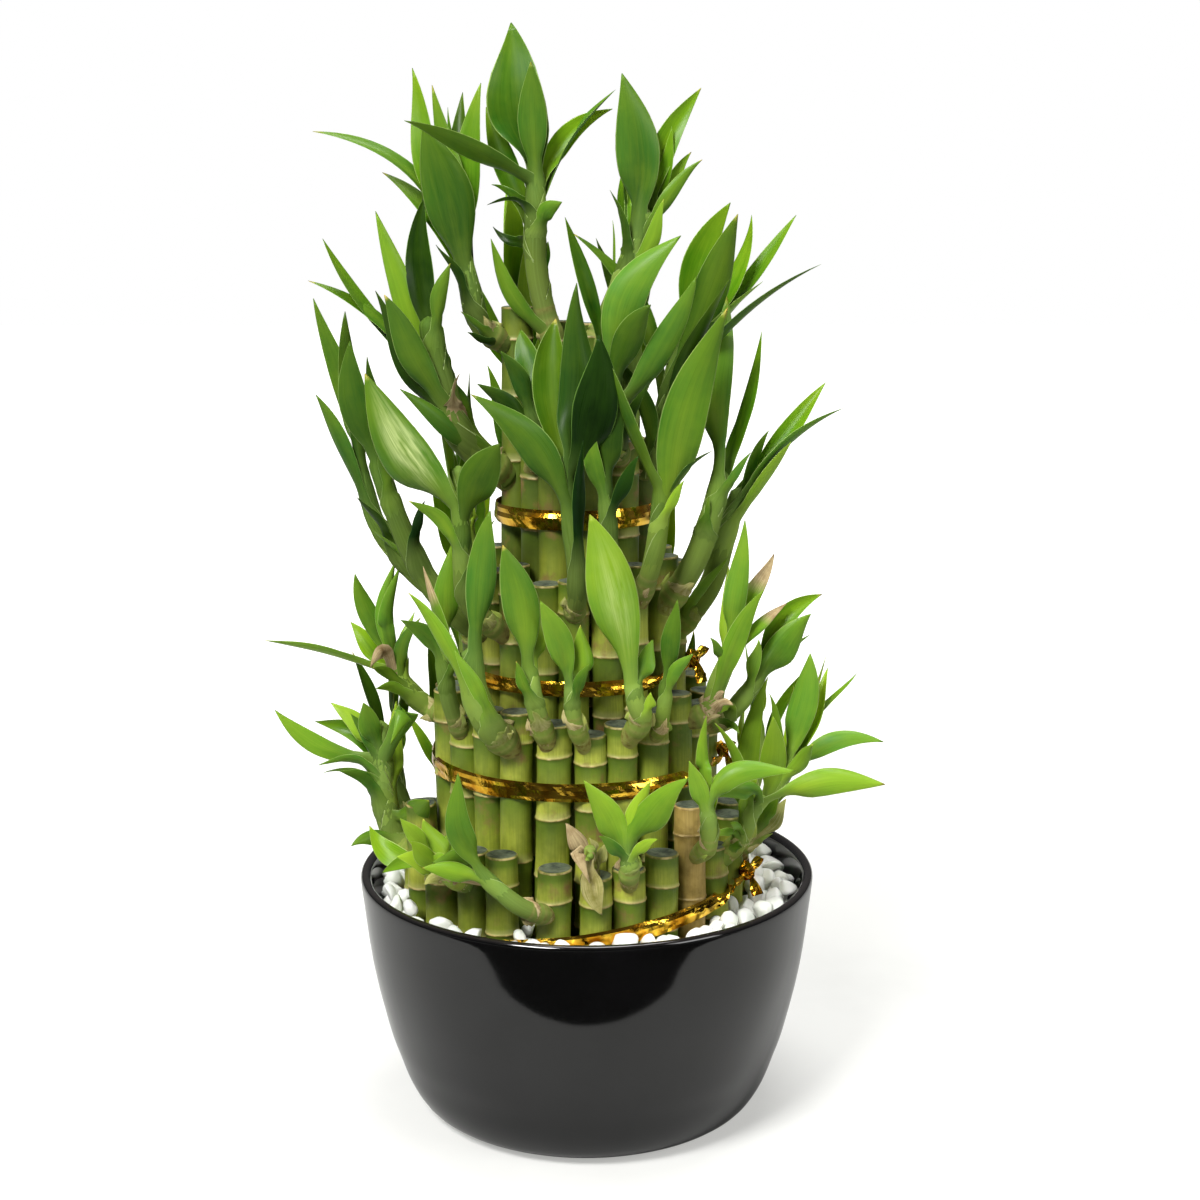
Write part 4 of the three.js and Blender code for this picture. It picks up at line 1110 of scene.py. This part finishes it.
shapes = [stone_shape() for _ in range(STONE_SHAPES)]
stones = []
for layer in STONE_LAYERS:
    placed = []
    for _ in range(DARTS):
        size = draw.uniform(*STONE_SIZES)
        far = SCATTER * math.sqrt(draw.uniform(0.25, 1))
        angle = draw.uniform(0, 2 * math.pi)
        x, y = far * math.cos(angle), far * math.sin(angle)
        if fits(x, y, layer, size, placed):
            placed.append((x, y, layer + draw.uniform(-1.5, 1.5), size))
    stones += placed
turns = [any_turn() for _ in stones]
bed = Gathered("tint")
for k, (x, y, z, size) in enumerate(stones):
    bed.add(shapes[k % STONE_SHAPES] * size @ turns[k] + (x, y, z), ball_faces, tint=draw.uniform(0, 0.9))
bed.done("quartz_pebbles", quartz, "quartz", "pebble_bed")


# The table that the bowl stands on is a pale board before a white wall. The light is soft: a large key
# from the front left, a wide fill from the right and one from above. A black card lies in front of the
# bowl, where only the glaze reflects it.
TABLE_SIDE = 12.0
CARD_START = 0.148
CARD_WIDTH, CARD_LENGTH = 1.6, 0.9
CARD_LIFT = 0.002
PLANT_MIDDLE = Vector((0, 0, 0.2))

board, recipe = new_finish("pale_board")
grain = recipe.shared(mottle, Colour="#bcbcb9", Patch_Colour="#b7b7b4", Scale=8)
far_off = recipe.node("VectorMath", {0: recipe.place()}, operation="LENGTH").outputs["Value"]
seen = recipe.node("LightPath").outputs["Is Camera Ray"]
recipe.finish(
    Base_Color=grain["Colour"], Roughness=recipe.spread(grain["Patch"], 0, 1, 0.7, 0.8),
    Emission_Color=grain["Colour"],
    Emission_Strength=recipe.times(seen, recipe.spread(far_off, 0.15, 1.2, 0.85, 2.6)))
black, recipe = new_finish("black_card")
recipe.finish(Base_Color=recipe.mix(recipe.noise(recipe.place(), 20), "#030303", "#060606"), Roughness=1.0)


def flat_sheet(name, width, length, middle, material):
    mesh = bpy.data.meshes.new(name)
    x, y, z = middle
    corners = [(x + a * width / 2, y + b * length / 2, z) for a, b in ((-1, -1), (1, -1), (1, 1), (-1, 1))]
    mesh.from_pydata(corners, [], [(0, 1, 2, 3)])
    mesh.materials.append(material)
    sheet = bpy.data.objects.new(name, mesh)
    bpy.context.scene.collection.objects.link(sheet)
    return sheet


flat_sheet("table_top", TABLE_SIDE, TABLE_SIDE, (0, 0, 0), board)
card_middle = (0, -CARD_START - CARD_LENGTH / 2, CARD_LIFT)
card = flat_sheet("black_card", CARD_WIDTH, CARD_LENGTH, card_middle, black)
card.visible_camera = False
card.visible_diffuse = False
card.visible_shadow = False
card.visible_transmission = False


def soft_light(name, place, side, watts):
    light = bpy.data.lights.new(name, "AREA")
    light.shape = "RECTANGLE"
    light.size = side
    light.size_y = side
    light.energy = watts
    lamp = bpy.data.objects.new(name, light)
    lamp.location = place
    lamp.rotation_euler = (PLANT_MIDDLE - Vector(place)).to_track_quat("-Z", "Y").to_euler()
    bpy.context.scene.collection.objects.link(lamp)


soft_light("key_light", (-0.6, -1.0, 1.3), 0.5, 37)
soft_light("fill_light", (1.3, -0.9, 0.9), 0.7, 10)
soft_light("top_light", (0.1, 0.1, 1.7), 0.8, 21)

# The room is white to the camera, and lights the plant softly from above and from the front
world = bpy.data.worlds.new("studio")
world.use_nodes = True
room = Recipe(world.node_tree)
way = room.node("SeparateXYZ", {0: room.node("TexCoord").outputs["Generated"]}).outputs
soft = room.times(room.spread(way["Z"], -0.1, 1, 0.07, 0.3), room.spread(way["Y"], -0.8, 0.4, 0.25, 1))
seen = room.node("LightPath").outputs["Is Camera Ray"]
unseen = room.spread(seen, 0, 1, 1, 0)
wall = world.node_tree.nodes["Background"].inputs
room.feed(room.plus(room.times(soft, unseen), seen), wall["Strength"])
room.feed("#ffffff", wall["Color"])
bpy.context.scene.world = world
bpy.context.scene.view_settings.view_transform = "Standard"
